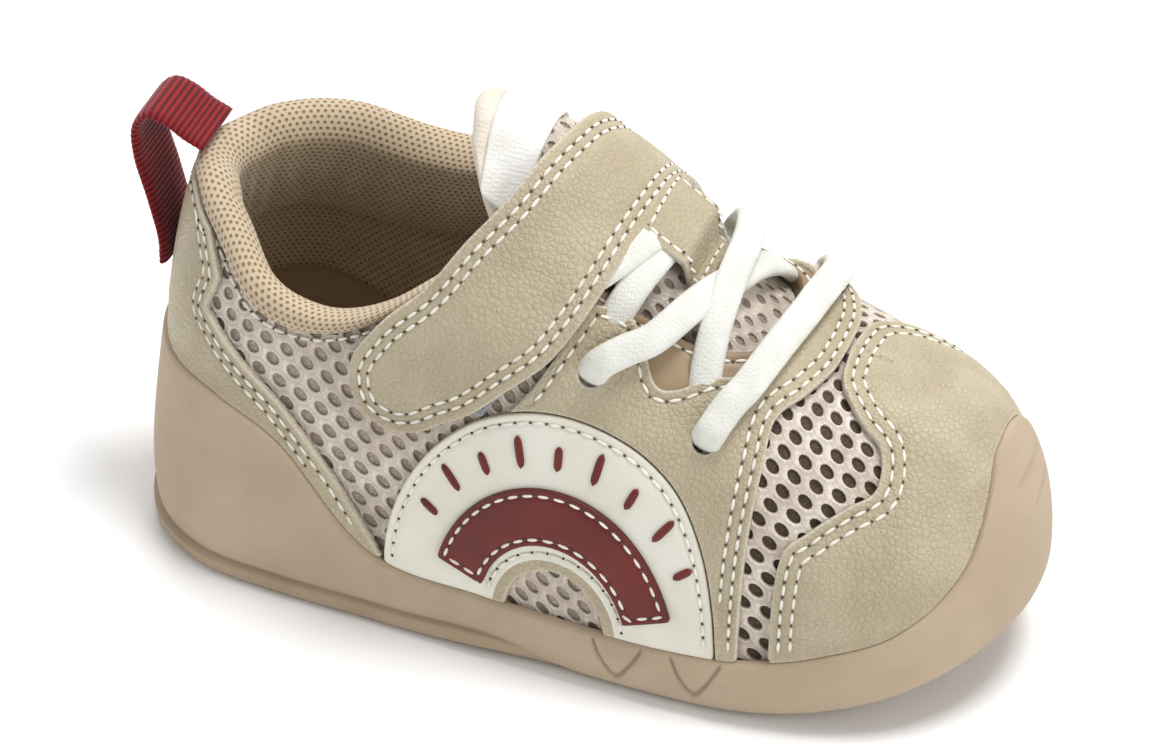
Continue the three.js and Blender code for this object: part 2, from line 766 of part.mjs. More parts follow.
function sidePanel() {
  const window = [
    new THREE.Vector3(windowAlong * soleLength - windowRadius, 0, -5),
    new THREE.Vector3(windowAlong * soleLength + windowRadius, 0, -5),
    ...arch(windowRadius),
  ];
  return leather.intersect(sidePrism(panelOutline(0), -1)).subtract(sidePrism(window, -1)).subtract(cupGrown);
}

function saddle() {
  return leather.intersect(sidePrism(panelOutline(0), 1)).subtract(cupGrown);
}

// The red half ring over the window.
const sunInner = 12.5;
const sunOuter = 20.5;
const patchThickness = 0.6;
function accentPatch() {
  const ring = [...arch(sunOuter, 0.3, Math.PI - 0.3), ...arch(sunInner, 0.3, Math.PI - 0.3).reverse()];
  return layer(underLeather, underLeather + patchThickness).intersect(sidePrism(ring, -1)).subtract(cupGrown);
}

function eyestay() {
  const front = [
    ...smoothLine(facingFrontRows, planPoint(-1, "across"), 14),
    ...smoothLine(facingFrontRows, planPoint(1, "across"), 14).reverse(),
    new THREE.Vector3(0.4 * soleLength, 0.6 * ballWidth, 0),
    new THREE.Vector3(0.4 * soleLength, -0.6 * ballWidth, 0),
  ];
  const rear = [
    new THREE.Vector3(0.45 * soleLength, 0, 0.53 * instepHeight),
    new THREE.Vector3(0.49 * soleLength, 0, 0.63 * instepHeight),
    new THREE.Vector3(0.54 * soleLength, 0, 0.8 * instepHeight),
    new THREE.Vector3(0.54 * soleLength, 0, 1.3 * instepHeight),
    new THREE.Vector3(0.9 * soleLength, 0, 1.3 * instepHeight),
    new THREE.Vector3(0.9 * soleLength, 0, 0.3 * instepHeight),
    new THREE.Vector3(0.6 * soleLength, 0, 0.3 * instepHeight),
  ];
  return leather
    .intersect(planPrism(front))
    .intersect(sidePrism(rear))
    .subtract(sidePrism(panelOutline(gap)))
    .subtract(throatCut(facingRows))
    .subtract(eyeletHoles())
    .subtract(cupGrown);
}

function toeCap() {
  const rear = [
    ...smoothLine(toeCapRows, planPoint(-1, "across"), 20),
    ...smoothLine(toeCapRows, planPoint(1, "across"), 20).reverse(),
    new THREE.Vector3(1.1 * soleLength, 0.6 * ballWidth, 0),
    new THREE.Vector3(1.1 * soleLength, -0.6 * ballWidth, 0),
  ];
  return leather.intersect(planPrism(rear)).subtract(cupGrown);
}

function heelCounter() {
  const outline = [
    ...counterRows.map(sidePoint),
    new THREE.Vector3(0.333 * soleLength, 0, 0),
    new THREE.Vector3(-0.1 * soleLength, 0, 0),
  ];
  return leather.intersect(sidePrism(outline)).subtract(cupGrown).subtract(collarEdge);
}

// The patch of loop fastener under the strap's free end, seen from the side.
const padRows = [
  { along: 0.325, height: 0.55 },
  { along: 0.375, height: 0.485 },
  { along: 0.415, height: 0.505 },
  { along: 0.455, height: 0.6 },
  { along: 0.485, height: 0.69 },
  { along: 0.455, height: 0.74 },
  { along: 0.39, height: 0.77 },
  { along: 0.345, height: 0.68 },
];
function strapPad() {
  return leather
    .intersect(sidePrism(padRows.map(sidePoint), -1))
    .subtract(sidePrism(panelOutline(gap)));
}

// Flat pieces on the tongue: rows of station, girth from and to.
const labelThickness = 0.7;
function tonguePatch(from, to, girthFrom, girthTo) {
  const steps = 4;
  const stations = Array.from({ length: steps + 1 }, (_, i) => lerp(from, to, i / steps));
  const crownAt = (along, girth) => {
    const reachHere = readRows(tongueRows, "reach", along);
    return tongueOffset({ crown: readRows(tongueRows, "crown", along) }, (girth / reachHere + 1) / 2);
  };
  const place = (along, share, lift) => {
    const girth = lerp(girthFrom, girthTo, share);
    return spot(along * soleLength, girth, crownAt(along, girth) + lift);
  };
  const patch = band(
    stations,
    6,
    (along, share) => place(along, share, gap + labelThickness),
    (along, share) => place(along, share, 0),
  );
  return patch.subtract(tongue(gap));
}

// Laces

// A flat cord over spots given as share of soleLength, girth and distance from the last.
function lace(route) {
  const curve = new THREE.CatmullRomCurve3(
    route.map(([along, girth, offset]) => new THREE.Vector3(along, girth, offset)),
    false,
    "centripetal",
  );
  const steps = 10;
  const stations = curve.getPoints(steps).map((p) => ({
    place: spot(p.x * soleLength, p.y, p.z),
    normal: lastNormal(turnAt(p.x * soleLength, p.y), 1 - Math.abs(p.y)),
  }));
  const points = [];
  stations.forEach(({ place, normal }, i) => {
    const before = stations[Math.max(i - 1, 0)].place;
    const ahead = stations[Math.min(i + 1, steps)].place.clone().sub(before).normalize();
    const across = ahead.clone().cross(normal).normalize();
    const out = across.clone().cross(ahead).normalize();
    for (let k = 0; k < 8; k += 1) {
      const angle = ((k + 0.5) / 8) * 2 * Math.PI;
      points.push(place.clone()
        .addScaledVector(across, (laceWidth / 2) * Math.cos(angle))
        .addScaledVector(out, (laceThickness / 2) * Math.sin(angle)));
    }
  });
  return sweep(points, 8, facingCaps(8));
}

const laceLies = underLeather + laceThickness / 2 + 0.25; // middle of a lace that lies on the eyestay
const laceFront = [
  [0.678, -0.47, laceLies],
  [0.7, -0.3, laceLies],
  [0.722, 0, laceLies],
  [0.735, 0.3, laceLies],
];
const laceCross = [
  [[0.552, -0.47, laceLies], [0.6, -0.33, laceLies], [0.648, -0.05, laceLies], [0.682, 0.27, laceLies]],
  [[0.662, -0.36, laceLies], [0.65, -0.2, laceLies], [0.642, 0, laceLies], [0.636, 0.3, laceLies]],
];
const laceTop = [
  [0.556, -0.37, laceLies],
  [0.568, -0.2, laceLies],
  [0.578, 0, laceLies],
  [0.597, 0.26, laceLies],
];

// Pull loop: a webbing that rises from the counter, turns over and comes down on the collar. out is the
// distance of its middle from the back of the last at that height, height is a share of instepHeight.
const loopRows = [
  { out: overlay + 2 * gap + loopThickness / 2, height: 0.55 },
  { out: overlay + 2 * gap + loopThickness / 2 + 0.6, height: 0.6 },
  { out: 6.2, height: 0.7 },
  { out: 10, height: 0.8 },
  { out: 11.4, height: 0.865 },
  { out: 10, height: 0.9 },
  { out: 6.8, height: 0.893 },
  { out: 3, height: 0.868 },
  { out: -0.6, height: 0.85 },
];
function pullLoop() {
  const route = loopRows.map((row) => {
    const z = row.height * instepHeight;
    return new THREE.Vector3(lastPoint(0, liftAt(0, z)).x - row.out, 0, z);
  });
  const curve = new THREE.CatmullRomCurve3(route, false, "centripetal");
  const steps = 20;
  const points = [];
  for (let i = 0; i <= steps; i += 1) {
    const place = curve.getPoint(i / steps);
    const ahead = curve.getTangent(i / steps);
    const out = new THREE.Vector3(-ahead.z, 0, ahead.x).multiplyScalar(loopThickness / 2);
    const side = new THREE.Vector3(0, loopWidth / 2, 0);
    points.push(
      place.clone().sub(side).add(out),
      place.clone().add(side).add(out),
      place.clone().add(side).sub(out),
      place.clone().sub(side).sub(out),
    );
  }
  return sweep(points, 4, facingCaps(4));
}

// Finishes

const finish = (color, roughness) => new THREE.MeshStandardMaterial({ color, roughness, metalness: 0 });
const rubber = finish(0xbfa587, 0.7);
const leatherFinish = finish(0xb4a78c, 0.6);
const creamLeather = finish(0xdad6c8, 0.6);
const airMesh = finish(0xc9bfb2, 0.9);
const lining = finish(0xc7ae88, 0.9);
const red = finish(0x8f2528, 0.85);
const white = finish(0xefede6, 0.8);
const loopFabric = finish(0x8a8794, 0.95);

const shoe = new THREE.Group();
shoe.position.x = -heelSeat;

function addPiece(name, solid, material) {
  const mesh = mainBody(solid.simplify(facetTolerance)).getMesh();
  const geometry = new THREE.BufferGeometry();
  geometry.setAttribute("position", new THREE.BufferAttribute(Float32Array.from(mesh.vertProperties), 3));
  geometry.setIndex(new THREE.BufferAttribute(Uint32Array.from(mesh.triVerts), 1));
  geometry.computeVertexNormals();
  const piece = new THREE.Mesh(geometry, material);
  piece.name = name;
  shoe.add(piece);
}

addPiece("outsole", outsole(), rubber);
addPiece("midsole", midsole(), rubber);
addPiece("insole", insole(), lining);
addPiece("upper", upper(), airMesh);
addPiece("tongue", tongue(), airMesh);
addPiece("collar", collar(), lining);
addPiece("toe_cap", toeCap(), leatherFinish);
addPiece("eyestay", eyestay(), leatherFinish);
addPiece("side_panel", sidePanel(), creamLeather);
addPiece("accent_patch", accentPatch(), red);
addPiece("saddle", saddle(), leatherFinish);
addPiece("heel_counter", heelCounter(), leatherFinish);
addPiece("strap_pad", strapPad(), loopFabric);
addPiece("strap", strap(), leatherFinish);
addPiece("tongue_label", tonguePatch(0.41, 0.45, -0.28, 0.3), white);
addPiece("lace_keeper", tonguePatch(0.575, 0.63, -0.14, 0.14), leatherFinish);
addPiece("lace_front", lace(laceFront), white);
addPiece("lace_cross", lace(laceCross[0]).add(lace(laceCross[1])), white);
addPiece("lace_top", lace(laceTop), white);
addPiece("pull_loop", pullLoop(), red);

export default shoe;
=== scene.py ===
"""A toddler's right sneaker: the looks of every piece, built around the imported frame.

Shapes are worked out in millimetres on the shoe's own last, with x from the back of the sole,
and become metres in the frame when their mesh is made."""
import json
import math

import bmesh
import bpy
import numpy as np
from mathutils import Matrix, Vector
from mathutils.kdtree import KDTree

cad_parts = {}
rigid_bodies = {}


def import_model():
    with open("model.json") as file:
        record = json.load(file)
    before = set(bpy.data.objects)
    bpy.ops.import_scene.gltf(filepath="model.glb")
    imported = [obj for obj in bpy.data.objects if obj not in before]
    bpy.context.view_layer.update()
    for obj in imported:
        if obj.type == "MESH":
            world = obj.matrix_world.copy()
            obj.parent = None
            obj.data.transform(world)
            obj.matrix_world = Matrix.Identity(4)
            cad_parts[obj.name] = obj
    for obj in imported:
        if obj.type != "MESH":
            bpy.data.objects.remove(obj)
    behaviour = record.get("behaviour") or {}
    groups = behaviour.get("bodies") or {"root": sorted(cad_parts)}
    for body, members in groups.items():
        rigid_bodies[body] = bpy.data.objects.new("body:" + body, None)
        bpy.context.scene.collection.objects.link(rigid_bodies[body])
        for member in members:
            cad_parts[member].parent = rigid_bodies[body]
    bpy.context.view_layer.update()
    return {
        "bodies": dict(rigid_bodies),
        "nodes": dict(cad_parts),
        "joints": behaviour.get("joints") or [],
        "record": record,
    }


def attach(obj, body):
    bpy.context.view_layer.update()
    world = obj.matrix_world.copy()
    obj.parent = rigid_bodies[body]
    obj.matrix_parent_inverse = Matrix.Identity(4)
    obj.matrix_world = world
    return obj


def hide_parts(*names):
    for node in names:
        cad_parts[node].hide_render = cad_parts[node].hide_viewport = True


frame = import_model()

MM = 0.001
HEEL_SEAT = 27.0  # from the back of the sole to the frame's origin

# Camera at the photograph's angle to the shoe
AIM = Vector((0.0455, 0.0005, 0.0355))
AZIMUTH = math.radians(20.3)
ELEVATION = math.radians(38)
DISTANCE = 0.9
camera_data = bpy.data.cameras.new("camera")
camera_data.sensor_width = 36
camera_data.lens = 176
camera = bpy.data.objects.new("camera", camera_data)
back = Vector((
    math.sin(AZIMUTH) * math.cos(ELEVATION),
    -math.cos(AZIMUTH) * math.cos(ELEVATION),
    math.sin(ELEVATION),
))
camera.location = AIM + back * DISTANCE
camera.rotation_euler = back.to_track_quat("Z", "Y").to_euler()
bpy.context.scene.collection.objects.link(camera)
bpy.context.scene.camera = camera

# Sizes of the shoe, the same as the frame's
SOLE_LENGTH = 148.0
BALL_WIDTH = 64.5
INSTEP_HEIGHT = 80.0
BUMPER_HEIGHT = 42.0
FOOTBED = 6.5
TOE_SPRING = 12.0
SPRING_START = 100.0
ARCH_RISE = 1.0
GAP = 0.3
UPPER_WALL = 2.0
CUP_WALL = 2.6
CUP_EDGE = 1.7
OVERLAY = 1.1
TREAD_THICKNESS = 2.6
TREAD_RIM = 4.0
TREAD_LIP = 0.4
INSOLE_THICKNESS = 3.0
COLLAR_ROLL = 4.0
COLLAR_PAD = 3.3
COLLAR_DEPTH = 16.0
TONGUE_THICKNESS = 3.4
TONGUE_CROWN = 3.2
STRAP_THICKNESS = 2.2
LACE_WIDTH = 5.0
LACE_THICKNESS = 2.4
EYELET_RADIUS = 1.9
LOOP_WIDTH = 12.0
LOOP_THICKNESS = 1.6
RIDGE_BACK = 32.0
RIDGE_FRONT = 131.0
RIDGE_SHIFT = 1.5
GIRTH_SCALE = 60  # millimetres that a girth of 1 counts for, beside lengths along the shoe


def table(names, *rows):
    """Rows of numbers as columns by name."""
    return dict(zip(names.split(), np.array(rows, float).T))


OUTLINE = table(
    "along lateral medial cup_lateral cup_medial",
    (0, 0, 0, 0.81, 0.81), (0.012, 0.15, 0.15, 0.81, 0.81), (0.045, 0.28, 0.28, 0.8, 0.8),
    (0.11, 0.38, 0.385, 0.785, 0.785), (0.2, 0.415, 0.412, 0.66, 0.66), (0.31, 0.432, 0.408, 0.285, 0.31),
    (0.44, 0.455, 0.395, 0.235, 0.25), (0.56, 0.478, 0.425, 0.225, 0.235), (0.66, 0.487, 0.49, 0.228, 0.23),
    (0.75, 0.48, 0.52, 0.258, 0.258), (0.83, 0.445, 0.49, 0.335, 0.335), (0.9, 0.378, 0.41, 0.435, 0.43),
    (0.955, 0.265, 0.295, 0.63, 0.6), (0.99, 0.12, 0.155, 0.95, 0.94), (1, -0.012, 0.012, 1, 1),
)
RIDGE = table(
    "along height fullness",
    (0, 1.25, 2), (0.2, 1.235, 2), (0.32, 1.17, 2.1), (0.4, 1.085, 2.3), (0.47, 1, 2.45),
    (0.53, 0.915, 2.5), (0.59, 0.832, 2.45), (0.66, 0.748, 2.4), (0.74, 0.667, 2.45), (0.82, 0.615, 2.5),
    (0.9, 0.57, 2.6),
)
COLLAR = table(
    "along lateral medial roll",
    (0, 0.776, 0.776, 1), (0.03, 0.776, 0.776, 1), (0.056, 0.776, 0.776, 1), (0.075, 0.758, 0.783, 1.05),
    (0.1, 0.72, 0.785, 1.1), (0.128, 0.645, 0.77, 1.15), (0.148, 0.618, 0.752, 1.05),
    (0.166, 0.63, 0.745, 0.85), (0.182, 0.685, 0.755, 0.75), (0.196, 0.785, 0.79, 0.7),
    (0.203, 0.84, 0.82, 0.7),
)
THROAT = table(
    "along lateral medial",
    (0.25, 0.24, 0.27), (0.5, 0.24, 0.265), (0.6, 0.235, 0.25), (0.66, 0.215, 0.225), (0.7, 0.15, 0.16),
    (0.716, 0.03, 0.06),
)
FACING = table(
    "along lateral medial",
    (0.4, 0.27, 0.3), (0.52, 0.268, 0.295), (0.58, 0.252, 0.28), (0.613, 0.315, 0.335),
    (0.632, 0.308, 0.33), (0.665, 0.262, 0.28), (0.7, 0.212, 0.225), (0.722, 0.05, 0.08),
)
TOE_CAP = table(
    "along across",
    (0.765, 0.6), (0.765, 0.42), (0.789, 0.385), (0.825, 0.33), (0.848, 0.285), (0.843, 0.225),
    (0.815, 0.19), (0.785, 0.12), (0.778, 0.03),
)
FACING_FRONT = table(
    "along across",
    (0.722, 0.6), (0.734, 0.35), (0.735, 0.27), (0.757, 0.19), (0.772, 0.1), (0.775, 0.02),
)
PANEL = table(
    "along height",
    (0.328, 0.05), (0.329, 0.2), (0.346, 0.325), (0.38, 0.442), (0.427, 0.531), (0.474, 0.572),
    (0.52, 0.584), (0.568, 0.57), (0.616, 0.532), (0.655, 0.47), (0.684, 0.37), (0.7, 0.24), (0.706, 0.05),
)
COUNTER = table(
    "along height",
    (-0.1, 0.82), (0.09, 0.82), (0.125, 0.66), (0.11, 0.585), (0.155, 0.52), (0.205, 0.45), (0.24, 0.38),
    (0.27, 0.31), (0.3, 0.225), (0.333, 0.13),
)
STRAP = table(
    "girth rear front",
    (-0.768, 0.333, 0.354), (-0.755, 0.31, 0.376), (-0.73, 0.297, 0.398), (-0.69, 0.293, 0.43),
    (-0.62, 0.318, 0.465), (-0.52, 0.368, 0.505), (-0.4, 0.403, 0.53), (-0.27, 0.434, 0.545),
    (-0.13, 0.452, 0.554), (0, 0.465, 0.56), (0.13, 0.474, 0.565), (0.27, 0.48, 0.57), (0.42, 0.484, 0.576),
    (0.56, 0.486, 0.58), (0.66, 0.487, 0.582),
)
TONGUE = table(
    "along reach crown",
    (0.385, 0.2, 0), (0.4, 0.3, 0.1), (0.43, 0.4, 0.5), (0.46, 0.52, 0.9), (0.5, 0.56, 1), (0.54, 0.56, 1),
    (0.6, 0.54, 0.75), (0.65, 0.52, 0.45), (0.7, 0.46, 0.1), (0.74, 0.38, 0),
)


def smoothstep(x, low, high):
    t = np.clip((np.asarray(x, float) - low) / (high - low), 0, 1)
    return t * t * (3 - 2 * t)


def hill(x, centre, width):
    """A soft rise of 1 at the centre."""
    return np.exp(-(((x - centre) / width) ** 2))


def read(rows, key, share):
    """Smooth reading of a table's column."""
    along = rows["along"]
    values = rows[key]
    last = len(along) - 1
    i = np.clip(np.searchsorted(along, share, side="right") - 1, 0, last - 1)
    before = np.maximum(i - 1, 0)
    after = np.minimum(i + 2, last)
    b = values[i]
    c = values[i + 1]
    step = along[i + 1] - along[i]
    t = np.clip((share - along[i]) / step, 0, 1)
    slope_in = np.where(before == i, c - b, (c - values[before]) / (along[i + 1] - along[before]) * step)
    slope_out = np.where(after == i + 1, c - b, (values[after] - b) / (along[after] - along[i]) * step)
    t2 = t * t
    t3 = t2 * t
    return ((2 * t3 - 3 * t2 + 1) * b + (t3 - 2 * t2 + t) * slope_in
            + (3 * t2 - 2 * t3) * c + (t3 - t2) * slope_out)


def spline(points, t, closed=False):
    """Centripetal Catmull-Rom curve through points, read from 0 to 1."""
    p = np.asarray(points, float)
    t = np.asarray(t, float)
    if closed:
        knot = t * len(p)
        i = np.floor(knot).astype(int) % len(p)
        weight = knot - np.floor(knot)
        around = [p[(i + k) % len(p)] for k in (-1, 0, 1, 2)]
    else:
        padded = np.concatenate([[2 * p[0] - p[1]], p, [2 * p[-1] - p[-2]]])
        knot = t * (len(p) - 1)
        i = np.clip(np.floor(knot).astype(int), 0, len(p) - 2)
        weight = knot - i
        around = [padded[i + k] for k in range(4)]
    p0, p1, p2, p3 = around
    d0, d1, d2 = [
        np.maximum(np.sum((b - a) ** 2, axis=-1) ** 0.25, 1e-4)[..., None]
        for a, b in ((p0, p1), (p1, p2), (p2, p3))
    ]
    m1 = ((p1 - p0) / d0 - (p2 - p0) / (d0 + d1) + (p2 - p1) / d1) * d1
    m2 = ((p2 - p1) / d1 - (p3 - p1) / (d1 + d2) + (p3 - p2) / d2) * d1
    w = weight.reshape(weight.shape + (1,) * (p.ndim - 1))
    return (p1 + m1 * w + (3 * (p2 - p1) - 2 * m1 - m2) * w**2 + (2 * (p1 - p2) + m1 + m2) * w**3)


def smooth_line(points, count):
    return spline(points, np.linspace(0, 1, count))


# The last: the form that the upper is shaped on

def outline_curve():
    half = np.stack([OUTLINE["along"] * SOLE_LENGTH, -OUTLINE["lateral"] * BALL_WIDTH], -1)
    other = np.stack([OUTLINE["along"] * SOLE_LENGTH, OUTLINE["medial"] * BALL_WIDTH], -1)
    return np.vstack([half, other[1:-1][::-1]])


OUTLINE_POINTS = outline_curve()
TIP_KNOT = (len(OUTLINE["along"]) - 1) / len(OUTLINE_POINTS)


def outline_at(turn):
    turn = np.asarray(turn, float) % 1
    half = np.where(turn <= 0.5, turn * 2, (1 - turn) * 2)
    eased = 0.5 - 0.5 * np.cos(np.pi * half)
    share = half + (eased - half) * 0.35
    return spline(OUTLINE_POINTS, np.where(turn <= 0.5, share * TIP_KNOT, 1 - share * TIP_KNOT), True)


def outline_normal(turn):
    ahead = outline_at(turn + 1e-3) - outline_at(turn - 1e-3)
    normal = np.stack([ahead[..., 1], -ahead[..., 0]], -1)
    return normal / np.linalg.norm(normal, axis=-1, keepdims=True)


def spring(x):
    share = np.clip((x - SPRING_START) / (SOLE_LENGTH - SPRING_START), 0, 1.1)
    return TOE_SPRING * share * share


def underside(x):
    waist = np.sin(np.pi * np.clip((x / SOLE_LENGTH - 0.34) / 0.24, 0, 1))
    return spring(x) + ARCH_RISE * waist * waist


def section_table():
    """What the last's cross lines need, for every turn round the outline."""
    turn = np.linspace(0, 1, 6001)
    point = outline_at(turn)
    facing = outline_normal(turn)
    edge = point - facing * (CUP_WALL + GAP)
    share = np.clip((edge[:, 0] + outline_at(1 - turn)[:, 0]) / 2 / SOLE_LENGTH, 0, 1)
    spine = RIDGE_BACK + (RIDGE_FRONT - RIDGE_BACK) * share
    cup = np.where(
        turn <= 0.5,
        read(OUTLINE, "cup_lateral", point[:, 0] / SOLE_LENGTH),
        read(OUTLINE, "cup_medial", point[:, 0] / SOLE_LENGTH),
    )
    return turn, {
        "x": edge[:, 0],
        "y": edge[:, 1],
        "out_x": point[:, 0],
        "out_y": point[:, 1],
        "face_x": facing[:, 0],
        "face_y": facing[:, 1],
        "spine": spine,
        "sweep": 1 + facing[:, 1] ** 2,
        "base": FOOTBED + GAP + spring(edge[:, 0]),
        "top": read(RIDGE, "height", spine / SOLE_LENGTH) * INSTEP_HEIGHT,
        "fullness": read(RIDGE, "fullness", spine / SOLE_LENGTH),
        "cup": cup * BUMPER_HEIGHT,
    }


TURN_GRID, SECTIONS = section_table()


def section(turn, key):
    return np.interp(np.asarray(turn, float) % 1, TURN_GRID, SECTIONS[key])


def last_point(turn, lift):
    """A point of the last: lift runs from 0 at the feather edge to 1 at the ridge."""
    angle = np.clip(lift, 0, 1) * np.pi / 2
    full = section(turn, "fullness")
    inward = np.where(lift < 1, np.abs(np.cos(angle)) ** (2 / full), 0)
    upward = np.sin(angle) ** (2 / full)
    spine = section(turn, "spine")
    return np.stack([
        spine + (section(turn, "x") - spine) * inward ** section(turn, "sweep"),
        RIDGE_SHIFT + (section(turn, "y") - RIDGE_SHIFT) * inward,
        section(turn, "base") + (section(turn, "top") - section(turn, "base")) * upward,
    ], -1)


def lift_at(turn, z):
    base = section(turn, "base")
    upward = np.clip((z - base) / (section(turn, "top") - base), 0, 1)
    return np.arcsin(upward ** (section(turn, "fullness") / 2)) * 2 / np.pi


def last_normal(turn, lift):
    turn = np.asarray(turn, float)
    level = np.clip(lift, 0.002, 0.995)
    along = last_point(turn + 2e-3, level) - last_point(turn - 2e-3, level)
    up = last_point(turn, np.minimum(level + 4e-3, 0.998)) - last_point(turn, level - 1e-3)
    normal = np.cross(along, up)
    share = section(turn, "spine") / SOLE_LENGTH
    slope = (read(RIDGE, "height", share + 0.01) - read(RIDGE, "height", share - 0.01))
    ridge = np.stack([-slope * INSTEP_HEIGHT / (0.02 * SOLE_LENGTH), 0 * slope, 1 + 0 * slope], -1)
    normal = np.where((np.asarray(lift) > 0.995)[..., None], ridge, normal)
    return normal / np.linalg.norm(normal, axis=-1, keepdims=True)


def skin(turn, lift, offset):
    return last_point(turn, lift) + last_normal(turn, lift) * np.asarray(offset, float)[..., None]


def turn_at(x, girth):
    """The turn at which the line of constant girth crosses x."""
    x, girth = np.broadcast_arrays(np.asarray(x, float), np.asarray(girth, float))
    lift = 1 - np.abs(girth)
    low = np.zeros(x.shape)
    high = np.full(x.shape, 0.5)
    for _ in range(26):
        middle = (low + high) / 2
        turn = np.where(girth < 0, middle, 1 - middle)
        short = last_point(turn, lift)[..., 0] < x
        low = np.where(short, middle, low)
        high = np.where(short, high, middle)
    return np.where(girth < 0, (low + high) / 2, 1 - (low + high) / 2)


# Patches: triangles over the last with fields of their points, cut exactly along any field's level

class Patch:
    def __init__(self, faces, **fields):
        self.faces = faces
        self.fields = fields

    def __getitem__(self, key):
        return self.fields[key]

    def __setitem__(self, key, values):
        self.fields[key] = values

    def copy(self):
        return Patch(self.faces, **self.fields)

    def cut(self, key, level):
        """Splits the triangles along the level and returns the pieces of that line."""
        value = self.fields[key] - level
        above = value > 0
        count = above[self.faces].sum(1)
        crossed = (count == 1) | (count == 2)
        tri = self.faces[crossed]
        lone = above[tri] == (count[crossed] == 1)[:, None]
        first = lone.argmax(1)
        row = np.arange(len(tri))
        a, b, c = [tri[row, (first + k) % 3] for k in range(3)]
        edges = np.sort(np.concatenate([np.stack([a, b], 1), np.stack([a, c], 1)]), 1)
        unique, inverse = np.unique(edges, axis=0, return_inverse=True)
        inverse = inverse.reshape(-1)
        one, two = unique.T
        weight = value[one] / (value[one] - value[two])
        start = len(value)
        for name, column in self.fields.items():
            self.fields[name] = np.concatenate([column, column[one] * (1 - weight) + column[two] * weight])
        self.fields[key][start:] = level
        if "girth" in self.fields:
            self.fields["turn"][start:] = turn_at(self["x"][start:], self["girth"][start:])
            self.fields["lift"][start:] = 1 - np.abs(self["girth"][start:])
        ab = start + inverse[:len(tri)]
        ac = start + inverse[len(tri):]
        self.faces = np.concatenate([
            self.faces[~crossed],
            np.stack([a, ab, ac], 1),
            np.stack([ab, b, c], 1),
            np.stack([ab, c, ac], 1),
        ])
        return np.stack([ab, ac], 1)

    def keep(self, key, level=0.0):
        """Cuts along the level and keeps what lies above it."""
        self.cut(key, level)
        self.faces = self.faces[self.fields[key][self.faces].mean(1) > level]
        used, inverse = np.unique(self.faces, return_inverse=True)
        self.faces = inverse.reshape(-1, 3)
        self.fields = {name: column[used] for name, column in self.fields.items()}


def grid_faces(rows, columns):
    a = np.arange((rows - 1) * columns).reshape(rows - 1, columns)[:, :-1].ravel()
    return np.concatenate([
        np.stack([a, a + 1, a + columns + 1], 1),
        np.stack([a, a + columns + 1, a + columns], 1),
    ])


def turn_patch(turns, lifts, columns, rows):
    """A patch between two turns; lifts are two numbers or functions of the turn."""
    turn = np.linspace(*turns, columns)
    low, high = [f(turn) if callable(f) else np.full(columns, f) for f in lifts]
    share = np.linspace(0, 1, rows)[:, None]
    lift = low + (high - low) * share
    return Patch(grid_faces(rows, columns), turn=np.tile(turn, rows), lift=lift.ravel())


def girth_patch(span, girths, columns, rows):
    """A patch between two places along the shoe and two girths, from -1 lateral to 1 medial."""
    girth, x = np.meshgrid(np.linspace(*girths, columns), np.linspace(*span, rows))
    turn = turn_at(x, girth).ravel()
    girth = girth.ravel()
    return Patch(grid_faces(rows, columns), turn=turn, lift=1 - np.abs(girth), girth=girth, x=x.ravel())


def inside(points, outline):
    """Distance to a closed flat outline, positive inside it."""
    a = np.asarray(outline, float)
    b = np.roll(a, -1, axis=0)
    span = b - a
    length = np.maximum((span**2).sum(1), 1e-12)
    best = np.full(len(points), 1e9)
    crossings = np.zeros(len(points), int)
    for k in range(len(a)):
        offset = points - a[k]
        t = np.clip((offset @ span[k]) / length[k], 0, 1)
        gap = offset - t[:, None] * span[k]
        best = np.minimum(best, (gap**2).sum(1))
        spans = (a[k, 1] > points[:, 1]) != (b[k, 1] > points[:, 1])
        if spans.any():
            x = a[k, 0] + (points[:, 1] - a[k, 1]) / (span[k, 1] or 1e-12) * span[k, 0]
            crossings += spans & (points[:, 0] < x)
    return np.where(crossings % 2 == 1, 1, -1) * np.sqrt(best)


def place(patch):
    return last_point(patch["turn"], patch["lift"])


def reach(patch, field):
    """Distance over the surface to the line where a field is 0, positive where the field is."""
    probe = patch.copy()
    probe["edge"] = field
    line = probe.cut("edge", 0)
    if len(line) == 0:
        return np.sign(field) * 50.0
    points = place(probe)
    a = points[line[:, 0]]
    b = points[line[:, 1]]
    samples = np.concatenate([a + (b - a) * k for k in (0, 0.25, 0.5, 0.75)])
    tree = KDTree(len(samples))
    for i, sample in enumerate(samples):
        tree.insert(sample, i)
    tree.balance()
    distance = np.array([tree.find(p)[2] for p in place(patch)])
    return np.where(field > 0, distance, -distance)


def chains(line):
    """The pieces of a cut joined end to end."""
    near = {}
    for a, b in line.tolist():
        near.setdefault(a, []).append(b)
        near.setdefault(b, []).append(a)
    left = set(near)
    found = []
    starts = [p for p in near if len(near[p]) == 1] + list(near)
    for start in starts:
        if start not in left:
            continue
        path = [start]
        left.discard(start)
        while True:
            ahead = [p for p in near[path[-1]] if p in left]
            if not ahead:
                break
            path.append(ahead[0])
            left.discard(ahead[0])
        if len(path) > 2:
            if start in near[path[-1]] and len(path) > 3:
                path.append(start)
            found.append(path)
    return found


# Meshes

def in_frame(points):
    """Points from millimetres of the shoe to metres of the frame."""
    return (np.asarray(points, float) - [HEEL_SEAT, 0, 0]) * MM


